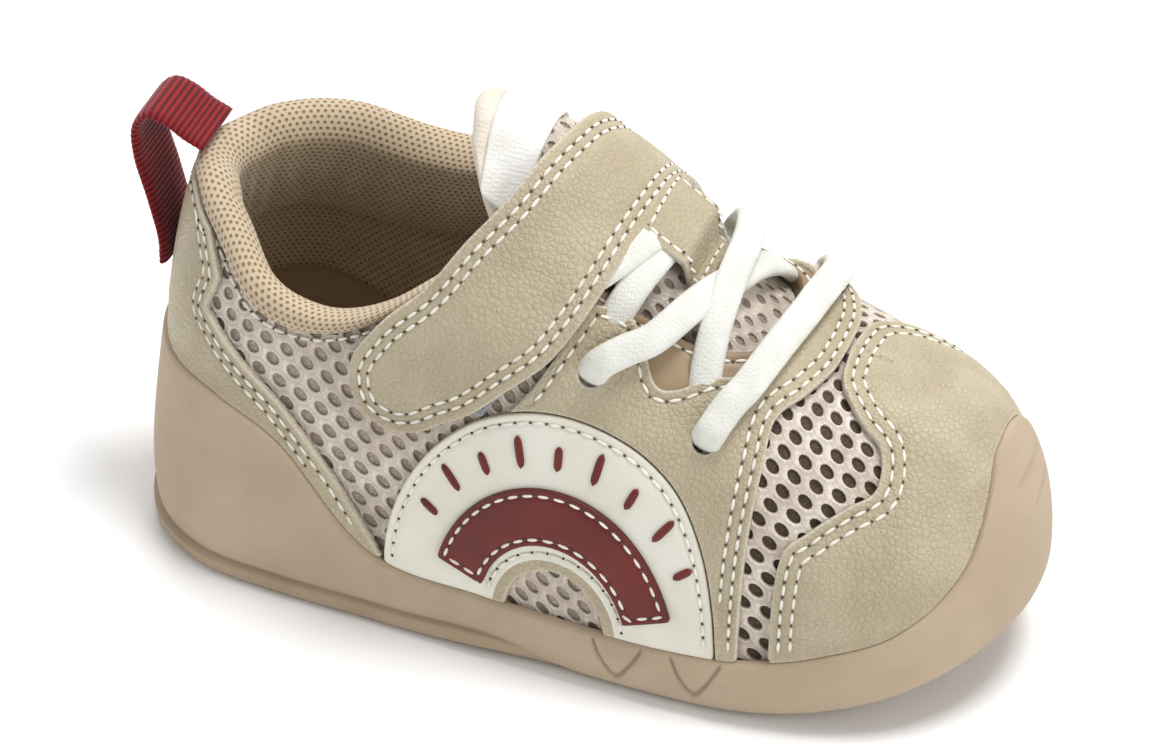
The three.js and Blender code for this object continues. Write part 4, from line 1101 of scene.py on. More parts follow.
def lattice_tree():
    """Node tree that lays a lattice of round holes over a surface.

    The surface's points carry their place in the flat cloth (weave), their place and facing on the
    outer skin (face_at, face_out), how open the cloth is there (open_cloth) and how far they lie
    within its edge (margin)."""
    tree, given = new_tree("Spacer mesh", ("Pitch", "Radius", "Span"), "Cloth")
    pitch, radius, span = given["Pitch"], given["Radius"], given["Span"]

    def m(operation, *values):
        return math_node(tree, operation, *values)

    def place_now():
        at = add_node(tree, "GeometryNodeInputPosition").outputs[0]
        return add_node(tree, "ShaderNodeSeparateXYZ", {0: at}).outputs

    def sample(kind, value):
        at = add_node(tree, "GeometryNodeInputPosition").outputs[0]
        scale = m("DIVIDE", 1.0, span)
        flat_at = add_node(tree, "ShaderNodeVectorMath", {0: at, "Scale": scale}, operation="SCALE").outputs[0]
        uv = add_node(tree, "ShaderNodeVectorMath", {0: flat_at, 1: (0.5, 0.5, 0)}, operation="ADD").outputs[0]
        return add_node(
            tree, "GeometryNodeSampleUVSurface",
            {"Mesh": given[0], "Value": value, "Source UV Map": named(tree, "weave"), "Sample UV": uv},
            data_type=kind,
        ).outputs

    # One hole: rings from the edge of its share of the cloth over the yarn and down its wall
    sheet = add_node(
        tree, "GeometryNodeMeshGrid", {"Size X": 1.0, "Size Y": 1.0, "Vertices X": 13, "Vertices Y": 5},
    ).outputs[0]
    at = place_now()
    angle = m("MULTIPLY", m("ADD", at[0], 0.5), 2 * math.pi)
    ring = m("MULTIPLY", m("ADD", at[1], 0.5), 4.0)
    step = [m("MINIMUM", m("MAXIMUM", m("SUBTRACT", ring, float(k)), 0.0), 1.0) for k in range(4)]
    slant = m("WRAP", angle, math.pi / 6, -math.pi / 6)
    outer = m("DIVIDE", m("MULTIPLY", pitch, 0.5), m("COSINE", slant))
    yarn = m("MULTIPLY", radius, 1.28)
    reach_out = m("ADD", outer, m("MULTIPLY", m("SUBTRACT", yarn, outer), step[0]))
    drop = m("MULTIPLY", radius, m("ADD", m("MULTIPLY", step[1], 0.2), m("MULTIPLY", step[2], 0.1)))
    reach_out = m("SUBTRACT", reach_out, m("ADD", drop, m("MULTIPLY", m("MULTIPLY", radius, 0.05), step[3])))
    rise = m("MULTIPLY", step[0], 0.16)
    wall = m("ADD", m("MULTIPLY", step[2], 0.2), m("MULTIPLY", step[3], 0.5))
    fall = m("ADD", m("MULTIPLY", step[1], 0.08), wall)
    height = m("MULTIPLY", m("SUBTRACT", m("SUBTRACT", rise, fall), 0.14), MM)
    around = add_node(tree, "ShaderNodeCombineXYZ", {
        0: m("MULTIPLY", reach_out, m("COSINE", angle)),
        1: m("MULTIPLY", reach_out, m("SINE", angle)),
        2: height,
    }).outputs[0]
    marked = sheet
    for name, value in (("hole_angle", angle), ("hole_ring", ring)):
        marked = add_node(
            tree, "GeometryNodeStoreNamedAttribute", {"Geometry": marked, "Name": name, "Value": value},
            data_type="FLOAT", domain="POINT",
        ).outputs[0]
    cell = add_node(tree, "GeometryNodeSetPosition", {"Geometry": marked, "Position": around}).outputs[0]

    # The lattice, kept where the cloth is open
    columns, rows = 56, 62
    row_gap = m("MULTIPLY", pitch, math.sqrt(0.75))
    lattice = add_node(tree, "GeometryNodeMeshGrid", {
        "Size X": m("MULTIPLY", pitch, columns - 1.0), "Size Y": m("MULTIPLY", row_gap, rows - 1.0),
        "Vertices X": columns, "Vertices Y": rows,
    }).outputs[0]
    row = m("FLOOR", m("ADD", m("DIVIDE", place_now()[1], row_gap), rows / 2))
    shift = m("MULTIPLY", m("MULTIPLY", m("MODULO", row, 2.0), 0.5), pitch)
    offset = add_node(tree, "ShaderNodeCombineXYZ", {0: shift}).outputs[0]
    lattice = add_node(tree, "GeometryNodeSetPosition", {"Geometry": lattice, "Offset": offset}).outputs[0]
    closed = m("LESS_THAN", sample("FLOAT", named(tree, "open_cloth", "FLOAT"))[0], 0.5)
    kept = add_node(
        tree, "GeometryNodeDeleteGeometry", {"Geometry": lattice, "Selection": closed}, domain="POINT",
    ).outputs[0]
    laid = add_node(tree, "GeometryNodeInstanceOnPoints", {"Points": kept, "Instance": cell}).outputs[0]
    laid = add_node(tree, "GeometryNodeRealizeInstances", {0: laid}).outputs[0]
    laid = add_node(tree, "GeometryNodeMergeByDistance", {"Geometry": laid, "Distance": 0.00002}).outputs[0]
    place_on = sample("FLOAT_VECTOR", named(tree, "face_at"))
    past = m("LESS_THAN", sample("FLOAT", named(tree, "margin", "FLOAT"))[0], 0.0)
    off = add_node(tree, "FunctionNodeBooleanMath", {0: place_on["Is Valid"]}, operation="NOT").outputs[0]
    lost = add_node(tree, "FunctionNodeBooleanMath", {0: off, 1: past}, operation="OR").outputs[0]
    laid = add_node(
        tree, "GeometryNodeDeleteGeometry", {"Geometry": laid, "Selection": lost}, domain="POINT",
    ).outputs[0]
    out = add_node(tree, "ShaderNodeVectorMath", {
        0: sample("FLOAT_VECTOR", named(tree, "face_out"))[0], "Scale": place_now()[2],
    }, operation="SCALE").outputs[0]
    on_skin = add_node(tree, "ShaderNodeVectorMath", {0: place_on[0], 1: out}, operation="ADD").outputs[0]
    laid = add_node(tree, "GeometryNodeSetPosition", {"Geometry": laid, "Position": on_skin}).outputs[0]
    return clad(tree, laid, given["Cloth"])


def grow(piece, tree, **inputs):
    """Runs a node tree on a piece and keeps the result as its plain mesh."""
    modifier = piece.modifiers.new(tree.name, "NODES")
    modifier.node_group = tree
    sockets = {item.name: item.identifier for item in tree.interface.items_tree if item.in_out == "INPUT"}
    for name, value in inputs.items():
        modifier[sockets[name.replace("_", " ")]] = value
    bpy.context.view_layer.update()
    evaluated = piece.evaluated_get(bpy.context.evaluated_depsgraph_get())
    mesh = bpy.data.meshes.new_from_object(evaluated)
    piece.modifiers.clear()
    piece.data = mesh


LATTICE = lattice_tree()


def open_mesh(name, patch, flat_places, offset, openness, margin, slot, node,
              pitch=HOLE_PITCH, radius=HOLE_RADIUS):
    """The spacer mesh over a patch; flat_places are millimetres in the cloth before it is bent."""
    turn, lift = patch["turn"], patch["lift"]
    outward = last_normal(turn, lift)
    points = last_point(turn, lift) + outward * offset[:, None]
    piece = make_piece(name, points, patch.faces, weld=0, layers={
        "open_cloth": openness,
        "margin": margin,
        "weave": np.concatenate([flat_places / CLOTH_SPAN + 0.5, np.zeros((len(turn), 1))], 1),
        "face_at": in_frame(points),
        "face_out": outward,
    })
    grow(piece, LATTICE, Pitch=pitch * MM, Radius=radius * MM, Span=CLOTH_SPAN * MM, Cloth=MESH)
    return keep_piece(piece, slot, node)


def cloth_run():
    """Length along the side of the last for every turn, the same on both sides."""
    turn = np.linspace(0, 0.5, 300)
    sides = [last_point(t, np.full(300, 0.45)) for t in (turn, 1 - turn)]
    steps = np.mean([np.linalg.norm(np.diff(side, axis=0), axis=1) for side in sides], axis=0)
    return turn, np.concatenate([[0], np.cumsum(steps)])


CLOTH_RUN = cloth_run()


def flat_cloth(turn, lift):
    turn = turn % 1
    side = np.where(turn <= 0.5, -1, 1)
    along = np.interp(np.minimum(turn, 1 - turn), *CLOTH_RUN)
    return np.stack([along - CLOTH_SHIFT, side * girth_length(turn, lift)], -1)


def covered(patch):
    """How far a point lies under the leather, in millimetres."""
    cuts = (toe_cap_cuts, eyestay_cuts, panel_cuts, saddle_cuts, counter_cuts, strap_cuts)
    depth = np.max([np.min(list(f(patch).values()), axis=0) for f in cuts], axis=0)
    return np.maximum(depth, -above_cup(patch, 0))


def cloth_swell(patch):
    free = np.minimum(-above_collar(patch), -in_throat(patch, THROAT))
    return 0.3 * wrinkle(place(patch), 26, 3) * smoothstep(free, 1, 6) * smoothstep(above_cup(patch), 0, 5)


def upper():
    def foot(turn):
        return lift_at(turn, np.maximum(section(turn, "cup") - CUP_TUCK, section(turn, "base") + 1))

    patch = turn_patch((0, 1), (foot, 1.0), 420, 66)
    open_cloth = patch.copy()
    collar_reach = above_collar(patch)
    throat_reach = in_throat(patch, THROAT)
    hidden = np.max([covered(patch) - 2.6, collar_reach - 1.2, throat_reach - 0.5], axis=0)
    patch["open"] = 1 - smoothstep(hidden, -0.6, 0.6)
    open_cloth["open"] = patch["open"]
    swell = cloth_swell(open_cloth)
    open_mesh(
        "upper_mesh", open_cloth, flat_cloth(open_cloth["turn"], open_cloth["lift"]), swell - 0.06,
        open_cloth["open"], -0.6 - np.maximum(collar_reach - 1.2, throat_reach), "air_mesh", "upper",
    )
    patch["keep"] = -np.maximum(collar_reach, in_throat(patch, THROAT))
    patch.keep("keep")
    patch["keep"] = clear_of_eyelets(patch)
    patch.keep("keep")
    weld_patch(patch)
    turn, lift = patch["turn"], patch["lift"]
    top = skin(turn, lift, cloth_swell(patch) - 0.06 - CLOTH_SINK * smoothstep(patch["open"], 0, 0.6))
    bottom = skin(turn, lift, -UPPER_WALL)
    points, faces = shell(top, bottom, patch.faces)
    flat_at = flat_cloth(turn, lift)
    layers = {
        "dark": np.tile(smoothstep(place(patch)[:, 0], DARK_FROM, DARK_FULL), 2),
        "weave_along": np.tile(flat_at[:, 0], 2) * MM,
        "weave_down": np.tile(flat_at[:, 1], 2) * MM,
    }
    lined = np.arange(len(faces)) >= len(patch.faces)
    piece = make_piece("upper_cloth", points, faces, [BACKING, LINING], layers, lined)
    return keep_piece(piece, "air_mesh", "upper")


def throat_binding():
    """Strip of brown leather round the throat, under the eyestay."""
    patch = girth_patch((62, 112), (-0.75, 0.75), 260, 130)
    edge = in_throat(patch, THROAT)
    ahead = np.where(place(patch)[:, 0] > 0.55 * SOLE_LENGTH, in_throat(patch, FACING) + 2.5, -9)
    cuts = {
        "throat": 0.2 - edge,
        "facing": np.maximum(3.2 + edge, ahead),
        "eyelet": clear_of_eyelets(patch),
        "collar": -above_collar(patch) - 2,
    }
    lay("throat_binding", patch, cuts, BROWN_EDGE, "grained_leather", "upper", {"throat": (1.4,)},
        thickness=0.45, low=-UPPER_WALL - 0.1, base=-0.1, rounding=0.3)


# Leather laid on the upper

def panel_outline(margin=0.0):
    line = smooth_line(flat(PANEL, "height") * [1, INSTEP_HEIGHT], SIDE_COUNT)
    centre = np.array([0.52 * SOLE_LENGTH, 0.1 * INSTEP_HEIGHT])
    out = line - centre
    return line + margin * out / np.linalg.norm(out, axis=1, keepdims=True)


WINDOW_ALONG = 0.525
WINDOW_FOOT = 9.0
WINDOW_RADIUS = 8.5
SUN_INNER = 12.5
SUN_OUTER = 20.5
SUN_SPREAD = 0.3
BINDING = 2.0
ARCH_COUNT = 40


def arch(radius, low=0.0, high=math.pi):
    angle = np.linspace(low, high, ARCH_COUNT)
    return np.stack([
        WINDOW_ALONG * SOLE_LENGTH + radius * np.cos(angle),
        WINDOW_FOOT + 1.25 * radius * np.sin(angle),
    ], -1)


def toe_cap_cuts(patch):
    rear = np.vstack([plan_line(TOE_CAP, "across", -1), plan_line(TOE_CAP, "across", 1)[::-1]])
    front = np.array([[1.1 * SOLE_LENGTH, 0.6 * BALL_WIDTH], [1.1 * SOLE_LENGTH, -0.6 * BALL_WIDTH]])
    return {"edge": plan_field(patch, np.vstack([rear, front])), "cup": above_cup(patch)}


def toe_cap():
    patch = turn_patch((0.27, 0.73), (from_cup, 1.0), 190, 64)
    lay("toe_cap_leather", patch, toe_cap_cuts(patch), LEATHER, "grained_leather", "toe_cap",
        {"edge": (1.5, 3.3)}, puff=0.25)


def eyestay_cuts(patch):
    front = np.vstack([
        plan_line(FACING_FRONT, "across", -1),
        plan_line(FACING_FRONT, "across", 1)[::-1],
        [[0.4 * SOLE_LENGTH, 0.6 * BALL_WIDTH], [0.4 * SOLE_LENGTH, -0.6 * BALL_WIDTH]],
    ])
    rear = np.array([(0.45, 0.53), (0.49, 0.63), (0.54, 0.8), (0.54, 1.3), (0.9, 1.3), (0.9, 0), (0.6, 0)])
    rear = rear * [SOLE_LENGTH, INSTEP_HEIGHT]
    return {
        "front": plan_field(patch, front),
        "rear": side_field(patch, rear),
        "panel": -side_field(patch, panel_outline(GAP)),
        "throat": -in_throat(patch, FACING),
        "eyelet": clear_of_eyelets(patch),
        "cup": above_cup(patch),
    }


def eyestay():
    patch = girth_patch((60, 118), (-1, 1), 340, 150)
    rows = {"front": (1.4, 3.1), "throat": (1.5,), "rear": (1.5,)}
    lay("eyestay_leather", patch, eyestay_cuts(patch), LEATHER, "grained_leather", "eyestay", rows)


def panel_cuts(patch):
    window = np.vstack([arch(WINDOW_RADIUS), [[WINDOW_ALONG * SOLE_LENGTH - WINDOW_RADIUS, -5]],
                        [[WINDOW_ALONG * SOLE_LENGTH + WINDOW_RADIUS, -5]]])
    return {
        "edge": side_field(patch, panel_outline(), -1),
        "window": -side_field(patch, window),
        "cup": above_cup(patch),
    }


def side_panel():
    patch = turn_patch((0.13, 0.37), (from_cup, 0.62), 190, 110)
    lay("side_panel_leather", patch, panel_cuts(patch), [CREAM, LEATHER], "cream_leather", "side_panel",
        {"edge": (1.5,), "window": (BINDING + 1.2,)}, fields=("window", BINDING))


def saddle_cuts(patch):
    return {"edge": side_field(patch, panel_outline(), 1), "cup": above_cup(patch)}


def saddle():
    patch = turn_patch((0.63, 0.87), (from_cup, 0.62), 190, 110)
    lay("saddle_leather", patch, saddle_cuts(patch), LEATHER, "grained_leather", "saddle", {"edge": (1.5, 3.2)})


def counter_cuts(patch):
    outline = np.vstack([
        flat(COUNTER, "height") * [1, INSTEP_HEIGHT],
        [[0.333 * SOLE_LENGTH, 0], [-0.1 * SOLE_LENGTH, 0]],
    ])
    return {
        "edge": side_field(patch, outline),
        "collar": -above_collar(patch),
        "cup": above_cup(patch),
    }


def heel_counter():
    patch = turn_patch((-0.2, 0.2), (from_cup, 0.55), 260, 80)
    lay("heel_counter_leather", patch, counter_cuts(patch), LEATHER, "grained_leather", "heel_counter",
        {"edge": (1.5, 3.0), "collar": (1.6,)}, puff=0.3)


PAD = np.array([
    (0.325, 0.55), (0.375, 0.485), (0.415, 0.505), (0.455, 0.6),
    (0.485, 0.69), (0.455, 0.74), (0.39, 0.77), (0.345, 0.68),
])


def strap_pad():
    outline = spline(PAD * [SOLE_LENGTH, INSTEP_HEIGHT], np.linspace(0, 1, 80, endpoint=False), True)
    patch = turn_patch((0.12, 0.3), (0.3, 0.98), 130, 90)
    cuts = {"edge": side_field(patch, outline, -1), "panel": -side_field(patch, panel_outline(GAP))}
    lay("strap_pad_nap", patch, cuts, NAP, "loop_fastener", "strap_pad")


def accent_patch():
    outline = np.vstack([
        arch(SUN_OUTER, SUN_SPREAD, math.pi - SUN_SPREAD),
        arch(SUN_INNER, SUN_SPREAD, math.pi - SUN_SPREAD)[::-1],
    ])
    patch = turn_patch((0.14, 0.34), (0.02, 0.5), 170, 110)
    cuts = {"edge": side_field(patch, outline, -1), "cup": above_cup(patch)}
    lay("sun_arch", patch, cuts, RED, "red_leather", "accent_patch", {"edge": (1.1,)},
        thickness=0.6, base=UNDER_LEATHER - 0.15, low=UNDER_LEATHER - 0.4, rounding=0.2)


def sun_rays():
    """Short strokes that fan out above the arch."""
    points = []
    faces = []
    steps = 12
    for k in range(9):
        angle = math.radians(32 + 14.5 * k)
        along = np.array([math.cos(angle), 1.25 * math.sin(angle)])
        across = np.array([-along[1], along[0]]) / np.linalg.norm(along)
        start = np.array([WINDOW_ALONG * SOLE_LENGTH, WINDOW_FOOT]) + along * 23.3
        end = start + along * (4.3 if k % 2 else 3.2)
        core = np.linspace(start, end, steps)
        width = 0.62 * np.sqrt(np.maximum(1 - (2 * np.linspace(0, 1, steps) - 1) ** 4, 0.02))
        outline = np.vstack([core - across * width[:, None], core, core + across * width[:, None]])
        z = outline[:, 1]
        low, high = np.full(len(z), 0.1), np.full(len(z), 0.4)
        for _ in range(24):
            turn = (low + high) / 2
            short = last_point(turn, lift_at(turn, z))[:, 0] < outline[:, 0]
            low, high = np.where(short, turn, low), np.where(short, high, turn)
        lift = lift_at(turn, z)
        crown = UNDER_LEATHER + 0.02 + np.repeat([0.0, 0.22, 0.0], steps)
        base = sum(len(p) for p in points)
        points += [skin(turn, lift, crown), skin(turn, lift, UNDER_LEATHER - 0.4)]
        _, closed = shell(points[-2], points[-1], grid_faces(3, steps))
        faces.append(closed + base)
    points = np.vstack(points)
    piece = make_piece("sun_rays", points, np.vstack(faces), [RED], {"cut_edge": np.zeros(len(points))})
    keep_piece(piece, "red_leather")


# Strap

STRAP_LIES = UNDER_LEATHER + 0.2


def strap_cuts(patch):
    rear, front = [
        smooth_line(np.stack([STRAP[key] * SOLE_LENGTH, STRAP["girth"] * GIRTH_SCALE], -1), 120)
        for key in ("rear", "front")
    ]
    outline = np.vstack([rear, [[rear[-1, 0], GIRTH_SCALE], [front[-1, 0], GIRTH_SCALE]], front[::-1]])
    girth = (1 - patch["lift"]) * np.where(is_lateral(patch), -1, 1)
    return {
        "edge": inside(np.stack([place(patch)[:, 0], girth * GIRTH_SCALE], -1), outline),
        "end": (STRAP["girth"][-1] - girth) * GIRTH_SCALE,
    }


def strap():
    patch = girth_patch((38, 92), (-0.8, 0.7), 300, 150)
    lay("strap_leather", patch, strap_cuts(patch), LEATHER, "grained_leather", "strap",
        {"edge": (1.9, 3.4), "end": (1.5, 3.2)}, thickness=STRAP_THICKNESS, low=STRAP_LIES - 0.3,
        base=STRAP_LIES, rounding=0.55, puff=0.2)


# Sole

def sole_ring(turn, inset, rise):
    x, y = section(turn, "out_x"), section(turn, "out_y")
    return np.stack([
        x - section(turn, "face_x") * inset,
        y - section(turn, "face_y") * inset,
        underside(x) + rise,
    ], -1)


def tread_inset(x):
    return -TREAD_LIP + (TREAD_RIM + TREAD_LIP) * smoothstep(x / SOLE_LENGTH, 0.42, 0.64)


def cup_ring(turn, share, offset, rise=0.0):
    z = section(turn, "base") * (1 - share) + section(turn, "cup") * share + rise
    return skin(turn, lift_at(turn, z), offset)


def spine_line(turn, back, length):
    """Points on the middle line that closed rings are drawn in to, for every turn."""
    share = (section(turn, "spine") - RIDGE_BACK) / (RIDGE_FRONT - RIDGE_BACK)
    return np.stack([back + share * length, np.full(len(turn), RIDGE_SHIFT), 0 * turn], -1)


def drawn_in(ring, centre, share, height):
    """The ring moved towards the centre; height gives its level for x."""
    ring = ring + (centre - ring) * share
    ring[:, 2] = height(ring[:, 0])
    return ring


FOXING_NOTCHES = (88.5, 101.5)
NOTCH_DEPTH = 6.0


def sole_turns():
    """Turns round the sole, closer together where the side notches and the bumper's cuts are."""
    turn = np.linspace(0, 1, 4001)
    x, y = section(turn, "out_x"), section(turn, "out_y")
    fine = smoothstep(x, 80, 84) * smoothstep(-x, -110, -106) + smoothstep(x, 138, 141) * smoothstep(y, -12, -8)
    steps = np.hypot(np.diff(x), np.diff(y)) * (1 + 1.6 * np.clip(fine[1:], 0, 1))
    share = np.concatenate([[0], np.cumsum(steps)])
    return np.interp(np.linspace(0, share[-1], 720, endpoint=False), share, turn)


def midsole():
    turn = sole_turns()
    x = section(turn, "out_x")
    base = section(turn, "base")
    cup = section(turn, "cup")
    outer = [
        sole_ring(turn, tread_inset(x) + 0.1, 0.9),
        sole_ring(turn, np.minimum(3.8, tread_inset(x) + 4), 0.5),
        sole_ring(turn, 1.35, 1.3),
        sole_ring(turn, 0.62, 2.9),
        sole_ring(turn, 0.22, 5.2),
    ]
    for share in (0.2, 0.36, 0.52, 0.7, 0.86, 0.96):
        outer.append(cup_ring(turn, share, GAP + CUP_WALL + (CUP_EDGE - CUP_WALL) * share))
    outer += [
        cup_ring(turn, 1.0, GAP + CUP_EDGE * 0.93, 0.25),
        cup_ring(turn, 1.0, GAP + CUP_EDGE * 0.6, 0.68),
        cup_ring(turn, 1.0, GAP + 0.15, 0.72),
    ]
    rows = smooth_line(np.array(outer), 92)
    normal = np.stack([section(turn, "face_x"), section(turn, "face_y"), 0 * turn], -1)[None]
    level = rows[..., 2] - underside(x)
    # A fine parting line above the tread and a soft step over it, both dying out towards the ball
    line = hill(level, 3.4, 0.22) * smoothstep(-x, -74, -58)
    step = smoothstep(level, 5.5, 9.5) * (1 - smoothstep(level, 16, 30)) * smoothstep(-x, -52, -20)
    push = 0.22 * step - 0.3 * line
    # depth: how much painted shade each cut gets in the rubber
    depth = line
    # Rounded V cuts that hang from the wall's upper edge
    below = cup - rows[..., 2]
    for centre in FOXING_NOTCHES:
        beside = rows[..., 0] - centre
        arm = (below - NOTCH_DEPTH + 1.75 * (np.sqrt(beside**2 + 0.7) - 0.84)) / 1.8
        near = hill(arm, 0, 0.34) * smoothstep(-np.abs(beside), -4.4, -3.9)
        inner = smoothstep(-arm, 0, 0.5) * smoothstep(-np.abs(beside), -4.4, -3.9)
        push = push - 0.55 * near - 0.12 * inner
        depth = np.maximum(depth, near)
    # Two short curved cuts on the bumper
    for foot, start, end in ((36.5, -5.0, 8.0), (31.5, -2.0, 10.0)):
        rise = rows[..., 2] - foot - 0.3 * (rows[..., 1] - start) + 0.02 * (rows[..., 1] - start) ** 2
        ends = smoothstep(rows[..., 1], start, start + 2) * smoothstep(-rows[..., 1], -end, -end + 2)
        near = hill(rise, 0, 0.42) * ends * smoothstep(rows[..., 0], 132, 135)
        push = push - 0.22 * near
        depth = np.maximum(depth, near * 0.5)
    rows = rows + normal * push[..., None]
    inner = [
        cup_ring(turn, 1.0, GAP + 0.02, 0.3),
        cup_ring(turn, 0.5, GAP),
        cup_ring(turn, 0.0, GAP),
        np.stack([section(turn, "x"), section(turn, "y"), base - 0.3], -1),
    ]
    centre = spine_line(turn, 12, 122)
    foot = inner[3]
    inner += [drawn_in(foot, centre, share, lambda x: FOOTBED + spring(x)) for share in (0.35, 0.7, 1.0)]
    rim = sole_ring(turn, tread_inset(x) + 0.1, 0)
    under = [
        drawn_in(rim, centre, share, lambda x: underside(x) + TREAD_THICKNESS + GAP)
        for share in (1.0, 0.7, 0.35)
    ]
    edge_ring = sole_ring(turn, tread_inset(x) + 0.1, TREAD_THICKNESS + GAP)
    rings = np.concatenate([rows, np.array(inner + under + [edge_ring])])
    faces = round_faces(len(rings), len(turn), len(rows) + len(inner) - 1)
    # The depth layer: painted shade in the parting line, the V cuts and the bumper's cuts
    layer = np.zeros(rings.shape[:2])
    layer[:len(rows)] = depth
    layers = {"depth": layer.ravel()}
    piece = make_piece("midsole_cup", rings.reshape(-1, 3), faces, [RUBBER], layers, weld=0.01, outward=True)
    return keep_piece(piece, "sole_rubber", "midsole")


def round_faces(rings, count, skipped):
    """Triangles between closed rings, the last joined to the first, with one band left out."""
    a = np.arange(count)
    b = (a + 1) % count
    faces = []
    for j in range(rings):
        if j == skipped:
            continue
        k = (j + 1) % rings
        faces += [np.stack([j * count + a, j * count + b, k * count + b], 1),
                  np.stack([j * count + a, k * count + b, k * count + a], 1)]
    return np.vstack(faces)


GROOVE_START = 0.585
GROOVE_PITCH = 0.086
GROOVE_WAVE = 2.2


def groove_x(along, y):
    across = y / BALL_WIDTH
    return along * SOLE_LENGTH + GROOVE_WAVE * np.sin(across * 2 * np.pi) - 9 * across * across


def zigzag(value, period):
    """Triangle wave from -1 to 1."""
    t = (value / period) % 1
    return 4 * np.abs(t - 0.5) - 1


def tread_pattern(x, y, edge):
    """Distance to the nearest groove's edge (negative inside a groove) and each groove's depth."""
    found = []
    first = groove_x(GROOVE_START, y)
    last = groove_x(GROOVE_START + 3 * GROOVE_PITCH, y)
    # Pairs of wavy grooves across the ball, and a narrow one along each row of blocks
    for k in range(4):
        middle = groove_x(GROOVE_START + k * GROOVE_PITCH, y)
        found.append((np.abs(np.abs(x - middle) - 1.15) - 0.42, 1.3))
        if k < 3:
            found.append((np.abs(x - groove_x(GROOVE_START + (k + 0.5) * GROOVE_PITCH, y)) - 0.32, 0.9))
    # Blocks of small slanted ribs with bare pads between them, inside a frame
    row = (x - first) / (GROOVE_PITCH * SOLE_LENGTH)
    share = row - np.floor(row)
    in_row = np.minimum(share - 0.2, 0.8 - share) * GROOVE_PITCH * SOLE_LENGTH
    in_rows = np.minimum(np.minimum(x - first, last - x), in_row)
    lean = np.where(np.floor(2 * row + 3 * np.floor(y / 7.6)) % 2 == 0, 1, -1)
    slant = (y + lean * (x - first) * 0.8) % 1.7
    block = np.minimum(2.5 - np.abs((y + 3) % 7.6 - 3.8), np.abs(share - 0.5) * 12 - 0.8)
    ribbed = np.minimum(np.minimum(in_rows - 0.4, block), edge - 5.4)
    found.append((np.maximum(np.abs(slant - 0.85) - 0.3, -ribbed), 0.5))
    frame = np.minimum(edge - 4.6, in_rows)
    found.append((np.abs(frame) - 0.25, 0.7))
    # Toe island: wavy lines crossed by two bare arcs, inside a rim
    island = np.minimum(x - last - 3.2, edge - 3.6)
    arcs = np.abs(np.abs(edge - 11.5) - 3.2) - 1.1
    wave = (x + 0.8 * zigzag(y, 7.5)) % 1.9
    found.append((np.maximum(np.maximum(np.abs(wave - 0.95) - 0.36, 0.6 - island), -arcs), 0.7))
    found.append((np.abs(island) - 0.32, 0.7))
    # Heel: zigzags in a horseshoe round a bare oval, inside a rim with round ends
    oval = np.hypot((x - HEEL_SEAT) / 1.43, y) - 9.0
    ring = np.minimum(edge - 5.0, oval - 2.6)
    lobe = np.minimum(49 - x, np.maximum(np.abs(y) - 3.4, HEEL_SEAT - x))
    corner = np.hypot(np.maximum(5 - ring, 0), np.maximum(5 - lobe, 0))
    heel = np.where((ring < 5) & (lobe < 5), 5 - corner, np.minimum(ring, lobe))
    wave = (x + 1.5 * zigzag(y, 6.4)) % 3.1
    found.append((np.maximum(np.abs(wave - 1.55) - 0.45, 0.7 - heel), 0.9))
    found.append((np.abs(heel) - 0.32, 0.7))
    found.append((np.abs(oval) - 0.8, 1.3))
    # Fine parting line round heel and waist, and a bare roundel in the waist
    line = np.maximum(np.abs(edge - 2.2) - 0.24, x - first + 3.5)
    found.append((line, 0.4))
    round_mark = np.hypot(x - 63, y + 8)
    found.append((np.abs(round_mark - 4.6) - 0.25, 0.4))
    return found


def lid(underside_points, faces, height):
    """Closes a plate: walls up from the rim of its underside, and a cover zipped from the back to the front."""
    rim = max(chains(border(faces)), key=len)[:-1]
    back = int(np.argmin(underside_points[rim, 0]))
    rim = np.array(rim[back:] + rim[:back])
    x = underside_points[rim, 0]
    count = len(rim)
    front = int(np.argmax(x))
    one = list(range(front + 1))
    other = [0] + list(range(count - 1, front - 1, -1))
    cover = []
    i = j = 0
    while i < len(one) - 1 or j < len(other) - 1:
        if j == len(other) - 1 or (i < len(one) - 1 and x[one[i + 1]] <= x[other[j + 1]]):
            cover.append((one[i], other[j], one[i + 1]))
            i += 1
        else:
            cover.append((one[i], other[j], other[j + 1]))
            j += 1
    cover = np.array([face for face in cover if len(set(face)) == 3])
    first = len(underside_points)
    here = np.arange(count)
    ahead = (here + 1) % count
    walls = np.concatenate([
        np.stack([rim[here], rim[ahead], first + ahead], 1),
        np.stack([rim[here], first + ahead, first + here], 1),
    ])
    top = np.stack([x, underside_points[rim, 1], height(x)], -1)
    return np.concatenate([underside_points, top]), np.concatenate([faces, walls, cover + first])


GROOVE_SLOPE = 0.28  # width of a groove's slanted wall
TREAD_ROUND = 2.0
TREAD_WEAR = 0.25
TREAD_DEPTH = 2.2
SHARP_EDGE = math.radians(35)


